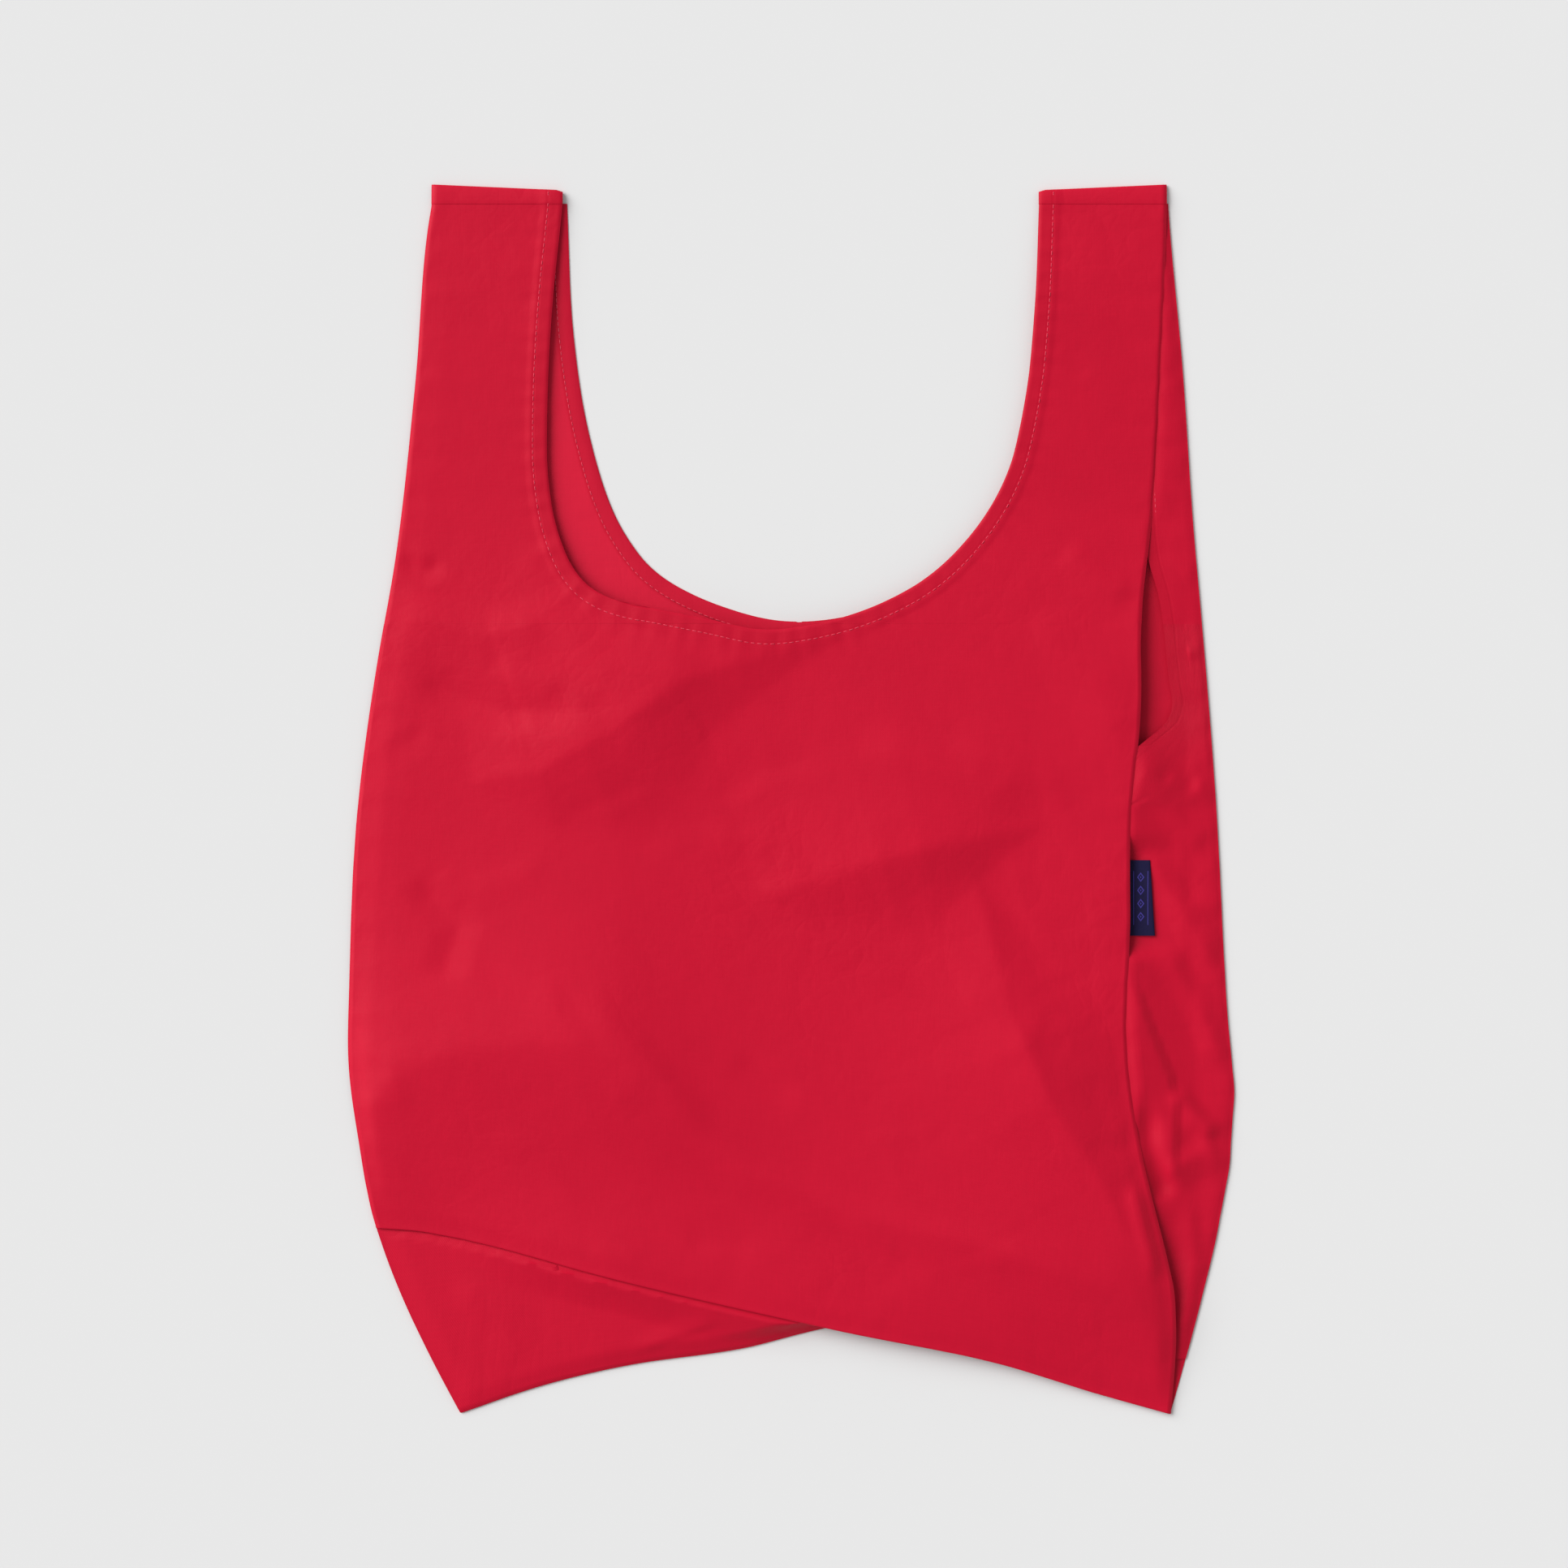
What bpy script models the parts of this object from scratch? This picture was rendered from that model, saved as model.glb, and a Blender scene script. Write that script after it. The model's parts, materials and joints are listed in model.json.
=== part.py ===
"""A foldable shopping bag of thin red nylon, lying flat on its back.

X runs across the bag, Y runs from its bottom to its handles and Z is up. The origin is under the middle of
the bag. The outlines below are plain X, Y points in millimetres, listed from the bottom of the bag upward,
and each is read as a smooth line. The bag lies a little sheared: its front panel has slid to the left over
its back panel, so the right gusset shows beside it. Every sheet is a grid laid between four such lines and
given its thickness. The sheets are cut along the fold lines, where the bottom, the handles and the label
turn, so each fold is a hinge.
"""

import bisect
import math

import bmesh
import bpy
import numpy as np

MM = 0.001
COLLECTION = "foldable_tote_bag"

# Cloth and the layers of the flat bag, in millimetres.
SHEET = 0.6
TURNED = 0.5
GAP = 0.4
GUSSET_WIDTH = 152.0
BACK_HEIGHT = 0.0
BACK_TURNED_HEIGHT = BACK_HEIGHT + SHEET + GAP
GUSSET_REAR_HEIGHT = BACK_TURNED_HEIGHT + TURNED + GAP
GUSSET_REAR_TOP = GUSSET_REAR_HEIGHT + SHEET
FRONT_TURNED_DROP = TURNED + GAP
GUSSET_FRONT_DROP = FRONT_TURNED_DROP + GAP + SHEET
FRONT_EDGE_HEIGHT = GUSSET_REAR_TOP + GAP + GUSSET_FRONT_DROP
FRONT_FULL_HEIGHT = 9.0
FRONT_RISE = 60.0

# Folds: each hinge line lies above the layers that it turns.
BOTTOM_FOLD_Y = -110.0
BOTTOM_FOLD_Z = 13.0
HANDLE_FOLD_Y = 105.0
HANDLE_FOLD_Z = 20.0
LABEL_FOLD_X = 175.0
LABEL_FOLD_Z = 6.2

# Outlines.
BAG_TOP = 317.5
TOP_SEAM_WIDTH = 10.0
BOTTOM_SEAM_WIDTH = 4.0
SEAM_BAR_HEIGHT = 4.2
HEM_WIDTH = 9.0
SEAM_ALLOWANCE = 6.0
STITCH_INSET = 7.4
STITCH_WIDTH = 0.6
STITCH_THICKNESS = 0.3
GUSSET_BAND = 21.0
GUSSET_HEM_WIDTH = 8.0
FOLD_OVERLAP = 15.0
LABEL_WIDTH = 12.4
LABEL_THICKNESS = 0.5
LABEL_TOP = -32.0
LABEL_BOTTOM = -71.0
LABEL_HEIGHT = GUSSET_REAR_TOP + 0.8

LEFT_EDGE = [
    (-171.5, -318.2), (-200.5, -260.5), (-217, -215), (-223.5, -179), (-229.1, -137), (-228.6, -97),
    (-224.5, -7), (-215.5, 62.5), (-205, 123), (-194.5, 216), (-187, 302), (-184, 318.2),
]
FRONT_RIGHT_EDGE = [
    (196, -318.2), (198, -295), (197.5, -255), (189, -219), (180, -181), (172.5, -126), (174.5, -71),
    (175, -5), (180.3, 45), (180, 89), (186.3, 147), (191, 230), (193.8, 302), (194, 318.2),
]
BACK_RIGHT_EDGE = [
    (196, -318.2), (212, -259), (224, -206), (229.1, -163), (225, -108), (219.5, -3), (213, 81),
    (208, 137), (202, 224), (195, 302), (194, 318.2),
]
# The necklines run from the left handle's top, down round the mouth and up to the right handle's top.
FRONT_NECK = [
    (-118.4, 307), (-123.7, 254), (-126.3, 201), (-125.7, 164), (-119.5, 133.4), (-108.3, 112.4),
    (-92, 102.2), (-73.7, 98.5), (-43.1, 92.4), (-14, 86.9), (12, 89.9), (43, 99.3), (73.3, 116.6),
    (92, 135.5), (109.4, 163.2), (120.3, 205.2), (125.4, 253.5), (127.8, 307),
]
BACK_NECK = [
    (-116.2, 307), (-112.4, 234.6), (-104.4, 186.3), (-88, 139.7), (-73.4, 119.5), (-57.8, 108.7),
    (-36, 99.2), (-6, 91.8), (20, 92.6), (46, 99.3), (76.3, 116.6), (95, 135.5), (112.4, 163.2),
    (123.3, 205.2), (128.4, 253.5), (130.8, 307),
]
FRONT_FOLD = [
    (-199, -222), (-163, -229), (-98.7, -246), (27.1, -274.9), (111.1, -292.5), (153.1, -306), (196, -318.2),
]
BOTTOM_SEAM = [
    (-171.5, -318.2), (-128.7, -303.7), (-86.9, -293.7), (-29.6, -285.4), (35, -272), (95, -281),
    (153, -299), (196, -318.2),
]
# How far the gusset's hemmed opening stands in from its seam, at each height.
GUSSET_OPENING = [(46, GUSSET_BAND), (29, 37.0), (10, 62.0)]
GUSSET_OPENING_LOW = -2.0
BAND_START = 66.0
BAND_MIDDLE = 85.0

# Where the sheets of the lower third end, along the bag.
GUSSET_LOW_AT_CREASE = -262.0
GUSSET_LOW_AT_SEAM = -290.0
SIDE_SEAM_LOW = -196.0
SIDE_SEAM_INSET = 0.5

# The share of a line's length that is left out at its ends, where a sheet's side line turns into it.
FOLD_TRIM = 0.02
CORNER_TRIM = 0.03

# Colours as linear red, green and blue.
RED_CLOTH = (0.565, 0.013, 0.036)
RED_FOLDED = (0.46, 0.009, 0.026)
RED_THREAD = (0.62, 0.022, 0.05)
NAVY_WEAVE = (0.004, 0.003, 0.032)
MATERIALS = {
    "nylon": (RED_CLOTH, 0.55),
    "turned_nylon": (RED_FOLDED, 0.6),
    "thread": (RED_THREAD, 0.5),
    "woven_label": (NAVY_WEAVE, 0.75),
}

# The empty on each hinge line, as the place in millimetres.
PIVOTS = {
    "bottom": (0, BOTTOM_FOLD_Y, BOTTOM_FOLD_Z),
    "left_handle": (-150, HANDLE_FOLD_Y, HANDLE_FOLD_Z),
    "right_handle": (112, HANDLE_FOLD_Y, HANDLE_FOLD_Z),
    "label": (LABEL_FOLD_X, (LABEL_TOP + LABEL_BOTTOM) / 2, LABEL_FOLD_Z),
}


class Path:
    """A smooth line through a few points, read by the share of its length from 0 to 1."""

    def __init__(self, points):
        self.points = np.array(points, float)
        steps = np.hypot(*np.diff(self.points, axis=0).T)
        self.shares = np.concatenate([[0], np.cumsum(steps)]) / steps.sum()
        self.slopes = np.gradient(self.points, self.shares, axis=0)
        self.samples = np.array([self(t) for t in np.linspace(0, 1, 241)])

    def __call__(self, share):
        last = len(self.shares) - 2
        i = min(max(bisect.bisect(self.shares, share) - 1, 0), last)
        span = self.shares[i + 1] - self.shares[i]
        s = (share - self.shares[i]) / span
        ends = (1 + 2 * s) * (1 - s) ** 2 * self.points[i] + s * s * (3 - 2 * s) * self.points[i + 1]
        bends = s * (1 - s) ** 2 * self.slopes[i] - s * s * (1 - s) * self.slopes[i + 1]
        return ends + span * bends

    def x_at(self, y):
        return float(np.interp(y, self.samples[:, 1], self.samples[:, 0]))

    def y_at(self, x):
        return float(np.interp(x, self.samples[:, 0], self.samples[:, 1]))


class Neckline(Path):
    """A neckline, split where each handle folds: a limb up each handle, and the dip between them."""

    def share_at(self, y, side):
        """The share at which the line passes a height on its left (-1) or right (1) side."""
        shares = np.linspace(0, 1, len(self.samples))
        lowest = int(np.argmin(self.samples[:, 1]))
        if side < 0:
            return float(np.interp(-y, -self.samples[:lowest, 1], shares[:lowest]))
        return float(np.interp(y, self.samples[lowest:, 1], shares[lowest:]))

    def limb(self, side, low):
        """The line from a height up to the handle's top."""
        start, end = self.share_at(low, side), 0.0 if side < 0 else 1.0
        return lambda share: self(start + share * (end - start))

    def limb_x(self, side):
        """X at a height on one limb."""
        return lambda y: self(self.share_at(y, side))[0]

    def dip(self, high):
        """The line below a height, from left to right."""
        start, end = self.share_at(high, -1), self.share_at(high, 1)
        return lambda share: self(start + share * (end - start))


def line(start, end):
    """The straight line between two points."""
    start = np.array(start, float)
    end = np.array(end, float)
    return lambda share: start + share * (end - start)


def rising(x_of, low, high):
    """The part of a side line between two heights, where x_of gives its X at a Y."""
    return lambda share: np.array([x_of(low + share * (high - low)), low + share * (high - low)])


def chain(*parts):
    """Several lines joined end to end, read by the share of their whole length."""
    dense = np.array([part(t) for part in parts for t in np.linspace(0, 1, 61)])
    steps = np.hypot(*np.diff(dense, axis=0).T)
    shares = np.concatenate([[0], np.cumsum(steps)]) / steps.sum()
    return lambda share: np.array([np.interp(share, shares, dense[:, k]) for k in (0, 1)])


def beside(path, distance, floor=-math.inf, ceiling=math.inf):
    """The line that runs a distance to the left of a path's direction, kept between two heights."""

    def at(share):
        ahead = path(min(share + 0.005, 1.0)) - path(max(share - 0.005, 0.0))
        ahead /= np.hypot(*ahead)
        x, y = path(share) + distance * np.array([-ahead[1], ahead[0]])
        return np.array([x, min(max(y, floor), ceiling)])

    return at


def lifted(path, rise):
    """The same line, moved up the bag."""
    return lambda share: path(share) + np.array([0, rise])


def trimmed(path, start, end):
    """The part of a line between two shares of its length."""
    return lambda share: path(start + share * (end - start))


def inward(seam_x, side, distance):
    """X at a height, a distance in from a side seam."""
    return lambda y: seam_x(y) - side * distance


def crease_of(side):
    """X at a height along one gusset's crease."""
    return lambda y: crease_x(side, y)


left_edge = Path(LEFT_EDGE)
front_right_edge = Path(FRONT_RIGHT_EDGE)
back_right_edge = Path(BACK_RIGHT_EDGE)
front_neck = Neckline(FRONT_NECK)
back_neck = Neckline(BACK_NECK)
front_fold = Path(FRONT_FOLD)
bottom_seam = Path(BOTTOM_SEAM)


def back_left_x(y):
    """The back panel's left seam: as far in from the front's as the shear that shows on the right."""
    return left_edge.x_at(y) + back_right_edge.x_at(y) - front_right_edge.x_at(y)


# Each seam as (X at a height, the side that it is on: -1 left, 1 right).
SEAMS = {
    "left_front": (left_edge.x_at, -1),
    "left_rear": (back_left_x, -1),
    "right_front": (front_right_edge.x_at, 1),
    "right_rear": (back_right_edge.x_at, 1),
}


def crease_x(side, y):
    """Where a gusset turns back on itself inside the bag."""
    name = "left" if side < 0 else "right"
    seams = SEAMS[name + "_front"][0](y) + SEAMS[name + "_rear"][0](y)
    return seams / 2 - side * GUSSET_WIDTH / 2


def smoothstep(share):
    share = min(max(share, 0.0), 1.0)
    return share * share * (3 - 2 * share)


def front_height(x, y):
    """The underside of the front panel: low at its seams, its bottom fold and its handle tops."""
    rise = smoothstep((x - left_edge.x_at(y)) / FRONT_RISE)
    rise *= smoothstep((front_right_edge.x_at(y) - x) / FRONT_RISE)
    rise *= smoothstep((y - front_fold.y_at(x)) / FRONT_RISE)
    rise *= smoothstep((BAG_TOP - y) / FRONT_RISE)
    return FRONT_EDGE_HEIGHT + rise * (FRONT_FULL_HEIGHT - FRONT_EDGE_HEIGHT)


def front_turned_height(x, y):
    return front_height(x, y) - FRONT_TURNED_DROP


def front_stitch_height(x, y):
    return front_height(x, y) + SHEET + GAP


def gusset_front_height(x, y):
    return front_height(x, y) - GUSSET_FRONT_DROP


def flat(height):
    return lambda x, y: height


def clear_scene():
    for old in list(bpy.data.objects):
        bpy.data.objects.remove(old, do_unlink=True)


def make_collection():
    made = bpy.data.collections.new(COLLECTION)
    bpy.context.scene.collection.children.link(made)
    return made


def make_material(name):
    """A plain cloth or thread material."""
    colour, roughness = MATERIALS[name]
    material = bpy.data.materials.new(name)
    material.use_nodes = True
    shader = material.node_tree.nodes["Principled BSDF"]
    shader.inputs["Base Color"].default_value = (*colour, 1)
    shader.inputs["Roughness"].default_value = roughness
    shader.inputs["Metallic"].default_value = 0.0
    return material


class Bag:
    """Adds each piece of the bag to its body, with its origin on that body's hinge line."""

    def __init__(self):
        self.collection = make_collection()
        self.materials = {name: make_material(name) for name in MATERIALS}
        self.empties = {name: self.add_pivot(name, place) for name, place in PIVOTS.items()}

    def add_pivot(self, name, place):
        empty = bpy.data.objects.new(name + "_fold", None)
        empty.location = [value * MM for value in place]
        empty.empty_display_size = 20 * MM
        self.collection.objects.link(empty)
        return empty

    def sheet(self, name, lines, cells, height, body="body", material="nylon", thickness=SHEET):
        """A grid between its bottom, top, left and right lines, given its thickness upward."""
        bottom, top, left, right = lines
        pivot = np.array(PIVOTS.get(body, (0, 0, 0)), float)
        mesh = bpy.data.meshes.new(name)
        shape = bmesh.new()
        bmesh.ops.create_grid(shape, x_segments=cells[0], y_segments=cells[1], size=0.5)
        for vert in shape.verts:
            u, v = vert.co.x + 0.5, vert.co.y + 0.5
            sides = (1 - v) * bottom(u) + v * top(u) + (1 - u) * left(v) + u * right(v)
            corners = (1 - v) * ((1 - u) * bottom(0) + u * bottom(1)) + v * ((1 - u) * top(0) + u * top(1))
            x, y = sides - corners
            vert.co = (np.array([x, y, height(x, y)]) - pivot) * MM
        shape.to_mesh(mesh)
        shape.free()
        mesh.materials.append(self.materials[material])
        piece = bpy.data.objects.new(name, mesh)
        piece.parent = self.empties.get(body)
        self.collection.objects.link(piece)
        solid = piece.modifiers.new("Thickness", "SOLIDIFY")
        solid.thickness = thickness * MM
        solid.offset = 1.0
        return piece

    def panel(self, name, left, right, cells, height, **more):
        """A sheet whose bottom and top are straight across."""
        lines = (line(left(0), right(0)), line(left(1), right(1)), left, right)
        return self.sheet(name, lines, cells, height, **more)

    def ribbon(self, name, lower, upper, count, height, **more):
        """A narrow sheet between two lines that run side by side."""
        lines = (lower, upper, line(lower(0), upper(0)), line(lower(1), upper(1)))
        return self.sheet(name, lines, (count, 1), height, **more)


# The stretch of Y that each body holds, with half a gap left at each fold.
BODY_SPAN = (BOTTOM_FOLD_Y + GAP / 2, HANDLE_FOLD_Y - GAP / 2)
LOWER_TOP = BOTTOM_FOLD_Y - GAP / 2
HANDLE_SPAN = (HANDLE_FOLD_Y + GAP / 2, BAG_TOP - TOP_SEAM_WIDTH - GAP)
SEAM_CLEAR = BOTTOM_SEAM_WIDTH + GAP


def across_with_dip(left, right, dip):
    """The body's upper edge: straight under each handle, with the neckline's dip between them."""
    return chain(line(left(1), dip(0)), dip, line(dip(1), right(1)))


def make_panels(bag):
    """The front and back panels, between the bottom fold line and the handles."""
    left, right = rising(left_edge.x_at, *BODY_SPAN), rising(front_right_edge.x_at, *BODY_SPAN)
    lines = (line(left(0), right(0)), across_with_dip(left, right, front_neck.dip(BODY_SPAN[1])), left, right)
    bag.sheet("front_panel", lines, (26, 9), front_height)
    left, right = rising(back_left_x, *BODY_SPAN), rising(back_right_edge.x_at, *BODY_SPAN)
    lines = (line(left(0), right(0)), across_with_dip(left, right, back_neck.dip(BODY_SPAN[1])), left, right)
    bag.sheet("back_panel", lines, (26, 6), flat(BACK_HEIGHT))


def between_sides(start, path, rise, end):
    """A line a little above a path, led out straight to a point on each side."""
    raised = lifted(trimmed(path, CORNER_TRIM, 1 - CORNER_TRIM), rise)
    return chain(line(start, raised(0)), raised, line(raised(1), end))


def make_bottom(bag):
    """The lower third: both panels, the strip that the front's fold covers, and the bottom seam."""
    seam_start = bottom_seam(0)[1] + SEAM_CLEAR
    fold_start = front_fold(0)[1]
    left = rising(left_edge.x_at, fold_start, LOWER_TOP)
    right = rising(front_right_edge.x_at, front_fold(1)[1], LOWER_TOP)
    low = chain(line(left(0), front_fold(FOLD_TRIM)), trimmed(front_fold, FOLD_TRIM, 1.0))
    lines = (low, line(left(1), right(1)), left, right)
    bag.sheet("front_panel_lower", lines, (20, 10), front_height, body="bottom")

    tucked = fold_start + FOLD_OVERLAP
    left = rising(left_edge.x_at, seam_start, tucked)
    right = rising(front_right_edge.x_at, seam_start, front_fold(1)[1] + FOLD_OVERLAP)
    low = between_sides(left(0), bottom_seam, SEAM_CLEAR, right(0))
    high = between_sides(left(1), front_fold, FOLD_OVERLAP, right(1))
    bag.sheet("front_bottom_strip", (low, high, left, right), (24, 4), front_turned_height,
              body="bottom", thickness=TURNED)

    left = rising(back_left_x, seam_start, LOWER_TOP)
    right = rising(back_right_edge.x_at, seam_start, LOWER_TOP)
    low = between_sides(left(0), bottom_seam, SEAM_CLEAR, right(0))
    bag.sheet("back_panel_lower", (low, line(left(1), right(1)), left, right), (24, 5),
              flat(BACK_HEIGHT), body="bottom")
    bag.ribbon("bottom_seam", bottom_seam, lifted(bottom_seam, BOTTOM_SEAM_WIDTH), 32, flat(0),
               body="bottom", material="turned_nylon", thickness=SEAM_BAR_HEIGHT)


def make_gussets(bag):
    """Both gussets: each half runs from its panel's seam in to the crease, below the hemmed opening."""
    for name, (seam_x, side) in SEAMS.items():
        front = name.endswith("front")
        height = gusset_front_height if front else flat(GUSSET_REAR_HEIGHT)
        turned_height = front_turned_height if front else flat(BACK_TURNED_HEIGHT)
        crease = crease_of(side)
        inner_low = rising(crease, BODY_SPAN[0], GUSSET_OPENING_LOW)
        opening = [(crease(GUSSET_OPENING_LOW), GUSSET_OPENING_LOW)]
        opening += [(seam_x(y) - side * inset, y) for y, inset in reversed(GUSSET_OPENING)]
        opening += [(seam_x(y) - side * GUSSET_BAND, y) for y in (BAND_START, BAND_MIDDLE, BODY_SPAN[1])]
        opening = Path(opening)
        outer = rising(seam_x, *BODY_SPAN)
        inner = chain(inner_low, opening)
        sides = (outer, inner) if side < 0 else (inner, outer)
        bag.panel("gusset_" + name, *sides, (6, 16), height)
        hem = beside(opening, -side * GUSSET_HEM_WIDTH, ceiling=BODY_SPAN[1])
        bag.ribbon("gusset_hem_" + name, *((hem, opening) if side > 0 else (opening, hem)), 14,
                   turned_height, material="turned_nylon", thickness=TURNED)

        inner = rising(crease, GUSSET_LOW_AT_CREASE, LOWER_TOP)
        outer = rising(seam_x, GUSSET_LOW_AT_SEAM, LOWER_TOP)
        sides = (outer, inner) if side < 0 else (inner, outer)
        bag.panel("gusset_lower_" + name, *sides, (5, 8), height, body="bottom")

        handle = "left_handle" if side < 0 else "right_handle"
        outer = rising(seam_x, *HANDLE_SPAN)
        inner = rising(inward(seam_x, side, GUSSET_BAND), *HANDLE_SPAN)
        sides = (outer, inner) if side < 0 else (inner, outer)
        bag.panel("gusset_band_" + name, *sides, (2, 12), height, body=handle)


def make_side_seams(bag):
    """The turned-in seam allowance along each side, between a panel and its gusset."""
    spans = {"body": BODY_SPAN, "bottom": (SIDE_SEAM_LOW, LOWER_TOP), "handle": HANDLE_SPAN}
    for name, (seam_x, side) in SEAMS.items():
        height = front_turned_height if name.endswith("front") else flat(BACK_TURNED_HEIGHT)
        for place, span in spans.items():
            body = ("left_" if side < 0 else "right_") + "handle" if place == "handle" else place
            near = rising(inward(seam_x, side, SIDE_SEAM_INSET), *span)
            far = rising(inward(seam_x, side, SIDE_SEAM_INSET + SEAM_ALLOWANCE), *span)
            sides = (near, far) if side < 0 else (far, near)
            bag.panel("side_seam_" + place + "_" + name, *sides, (1, 12), height, body=body,
                      material="turned_nylon", thickness=TURNED)


def make_handles(bag):
    """Each handle: a front and a rear band with the neckline's hems, and the seam that joins their tops."""
    bands = {
        "left_handle_front": (left_edge.x_at, front_neck.limb_x(-1), -1, front_height),
        "left_handle_rear": (back_left_x, back_neck.limb_x(-1), -1, flat(BACK_HEIGHT)),
        "right_handle_front": (front_right_edge.x_at, front_neck.limb_x(1), 1, front_height),
        "right_handle_rear": (back_right_edge.x_at, back_neck.limb_x(1), 1, flat(BACK_HEIGHT)),
    }
    for name, (outer_x, inner_x, side, height) in bands.items():
        handle = name.rsplit("_", 1)[0]
        outer, inner = rising(outer_x, *HANDLE_SPAN), rising(inner_x, *HANDLE_SPAN)
        bag.panel(name, *((outer, inner) if side < 0 else (inner, outer)), (6, 18), height, body=handle)
    for side, handle in ((-1, "left_handle"), (1, "right_handle")):
        inner_x = front_neck.limb_x(side)
        edges = (left_edge.x_at, inner_x) if side < 0 else (inner_x, front_right_edge.x_at)
        span = (HANDLE_SPAN[1] + GAP, BAG_TOP)
        bag.panel(handle + "_top_seam", *(rising(edge, *span) for edge in edges), (6, 1), flat(0),
                  body=handle, material="turned_nylon", thickness=SEAM_BAR_HEIGHT)


def make_neckline(bag):
    """The turned hem and its stitching, along the dip of each neckline and up each handle."""
    limbs = {
        "front_left": (front_neck, -1, front_turned_height),
        "rear_left": (back_neck, -1, flat(BACK_TURNED_HEIGHT)),
        "front_right": (front_neck, 1, front_turned_height),
        "rear_right": (back_neck, 1, flat(BACK_TURNED_HEIGHT)),
    }
    low, high = HANDLE_SPAN
    for name, (neck, side, height) in limbs.items():
        body = "left_handle" if side < 0 else "right_handle"
        edge = neck.limb(side, low)
        hem = beside(edge, -side * HEM_WIDTH, low, high)
        pair = (edge, hem) if side < 0 else (hem, edge)
        bag.ribbon("neck_hem_" + name, *pair, 20, height, body=body, material="turned_nylon", thickness=TURNED)
        if name.startswith("front"):
            row = beside(edge, -side * STITCH_INSET, low, high)
            mate = beside(edge, -side * (STITCH_INSET + STITCH_WIDTH), low + STITCH_WIDTH, high)
            pair = (row, mate) if side < 0 else (mate, row)
            bag.ribbon("neck_stitching_" + name, *pair, 26, front_stitch_height, body=body,
                       material="thread", thickness=STITCH_THICKNESS)
    for name, neck, height in (("front", front_neck, front_turned_height),
                               ("rear", back_neck, flat(BACK_TURNED_HEIGHT))):
        dip = neck.dip(BODY_SPAN[1])
        bag.ribbon("neck_hem_" + name, beside(dip, -HEM_WIDTH, ceiling=BODY_SPAN[1]), dip, 20, height,
                   material="turned_nylon", thickness=TURNED)
    dip = front_neck.dip(BODY_SPAN[1])
    bag.ribbon("neck_stitching_front", beside(dip, -STITCH_INSET - STITCH_WIDTH), beside(dip, -STITCH_INSET),
               24, front_stitch_height, material="thread", thickness=STITCH_THICKNESS)


def make_label(bag):
    """The folded woven label, held in the front's right seam."""
    near = LABEL_FOLD_X + GAP
    far = near + LABEL_WIDTH
    left, right = rising(lambda y: near, LABEL_BOTTOM, LABEL_TOP), rising(lambda y: far, LABEL_BOTTOM, LABEL_TOP)
    bag.panel("label", left, right, (2, 6), flat(LABEL_HEIGHT), body="label", material="woven_label",
              thickness=LABEL_THICKNESS)


def main():
    clear_scene()
    bag = Bag()
    make_panels(bag)
    make_bottom(bag)
    make_gussets(bag)
    make_side_seams(bag)
    make_handles(bag)
    make_neckline(bag)
    make_label(bag)


main()
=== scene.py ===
"""The cloth, stitching and label of a foldable nylon shopping bag that lies flat on its back.

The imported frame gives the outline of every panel, gusset, hem and seam. Each sheet of cloth is a fine grid laid
inside that outline, and its height is worked out from the same few rules: low at the seams, full in the
middle, and creased along the folds that the bag has kept from being carried in a pocket.
"""
import json
import math
from functools import partial

import bmesh
import bpy
import numpy as np
from bpy.props import FloatProperty, FloatVectorProperty, PointerProperty
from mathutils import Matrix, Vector


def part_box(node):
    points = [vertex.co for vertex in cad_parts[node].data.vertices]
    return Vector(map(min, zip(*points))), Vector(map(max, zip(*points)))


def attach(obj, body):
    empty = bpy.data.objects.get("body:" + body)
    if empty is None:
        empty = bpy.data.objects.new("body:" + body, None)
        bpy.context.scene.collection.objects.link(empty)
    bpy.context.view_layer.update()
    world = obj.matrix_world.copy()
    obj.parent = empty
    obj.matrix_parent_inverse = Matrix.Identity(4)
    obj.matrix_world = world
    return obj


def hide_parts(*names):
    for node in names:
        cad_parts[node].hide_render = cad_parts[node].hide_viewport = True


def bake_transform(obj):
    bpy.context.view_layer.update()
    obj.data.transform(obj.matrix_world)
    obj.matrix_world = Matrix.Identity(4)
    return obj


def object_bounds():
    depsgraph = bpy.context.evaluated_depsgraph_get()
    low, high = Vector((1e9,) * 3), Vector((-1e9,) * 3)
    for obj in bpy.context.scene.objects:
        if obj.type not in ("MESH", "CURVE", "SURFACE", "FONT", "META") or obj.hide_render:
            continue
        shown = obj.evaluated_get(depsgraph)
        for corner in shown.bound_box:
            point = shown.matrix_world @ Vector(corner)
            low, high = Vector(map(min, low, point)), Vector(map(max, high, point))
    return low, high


bl_info = {
    "name": "Foldable Bag",
    "version": (1, 0, 0),
    "blender": (4, 5, 0),
    "location": "View3D > Sidebar > Bag",
    "description": "Builds the cloth, hems, stitches and label of a foldable shopping bag around its frame",
    "category": "Object",
}

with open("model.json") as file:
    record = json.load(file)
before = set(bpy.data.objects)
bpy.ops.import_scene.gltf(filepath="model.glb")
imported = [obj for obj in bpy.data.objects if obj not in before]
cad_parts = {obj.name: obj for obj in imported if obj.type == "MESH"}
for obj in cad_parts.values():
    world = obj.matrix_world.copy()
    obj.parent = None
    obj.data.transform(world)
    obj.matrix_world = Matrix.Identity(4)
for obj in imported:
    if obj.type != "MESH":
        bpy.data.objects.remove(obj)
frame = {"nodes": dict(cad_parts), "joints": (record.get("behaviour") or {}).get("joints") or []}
CAD_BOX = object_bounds()
MM = 0.001
BAG_BOTTOM, BAG_TOP = CAD_BOX[0].y, CAD_BOX[1].y

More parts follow.
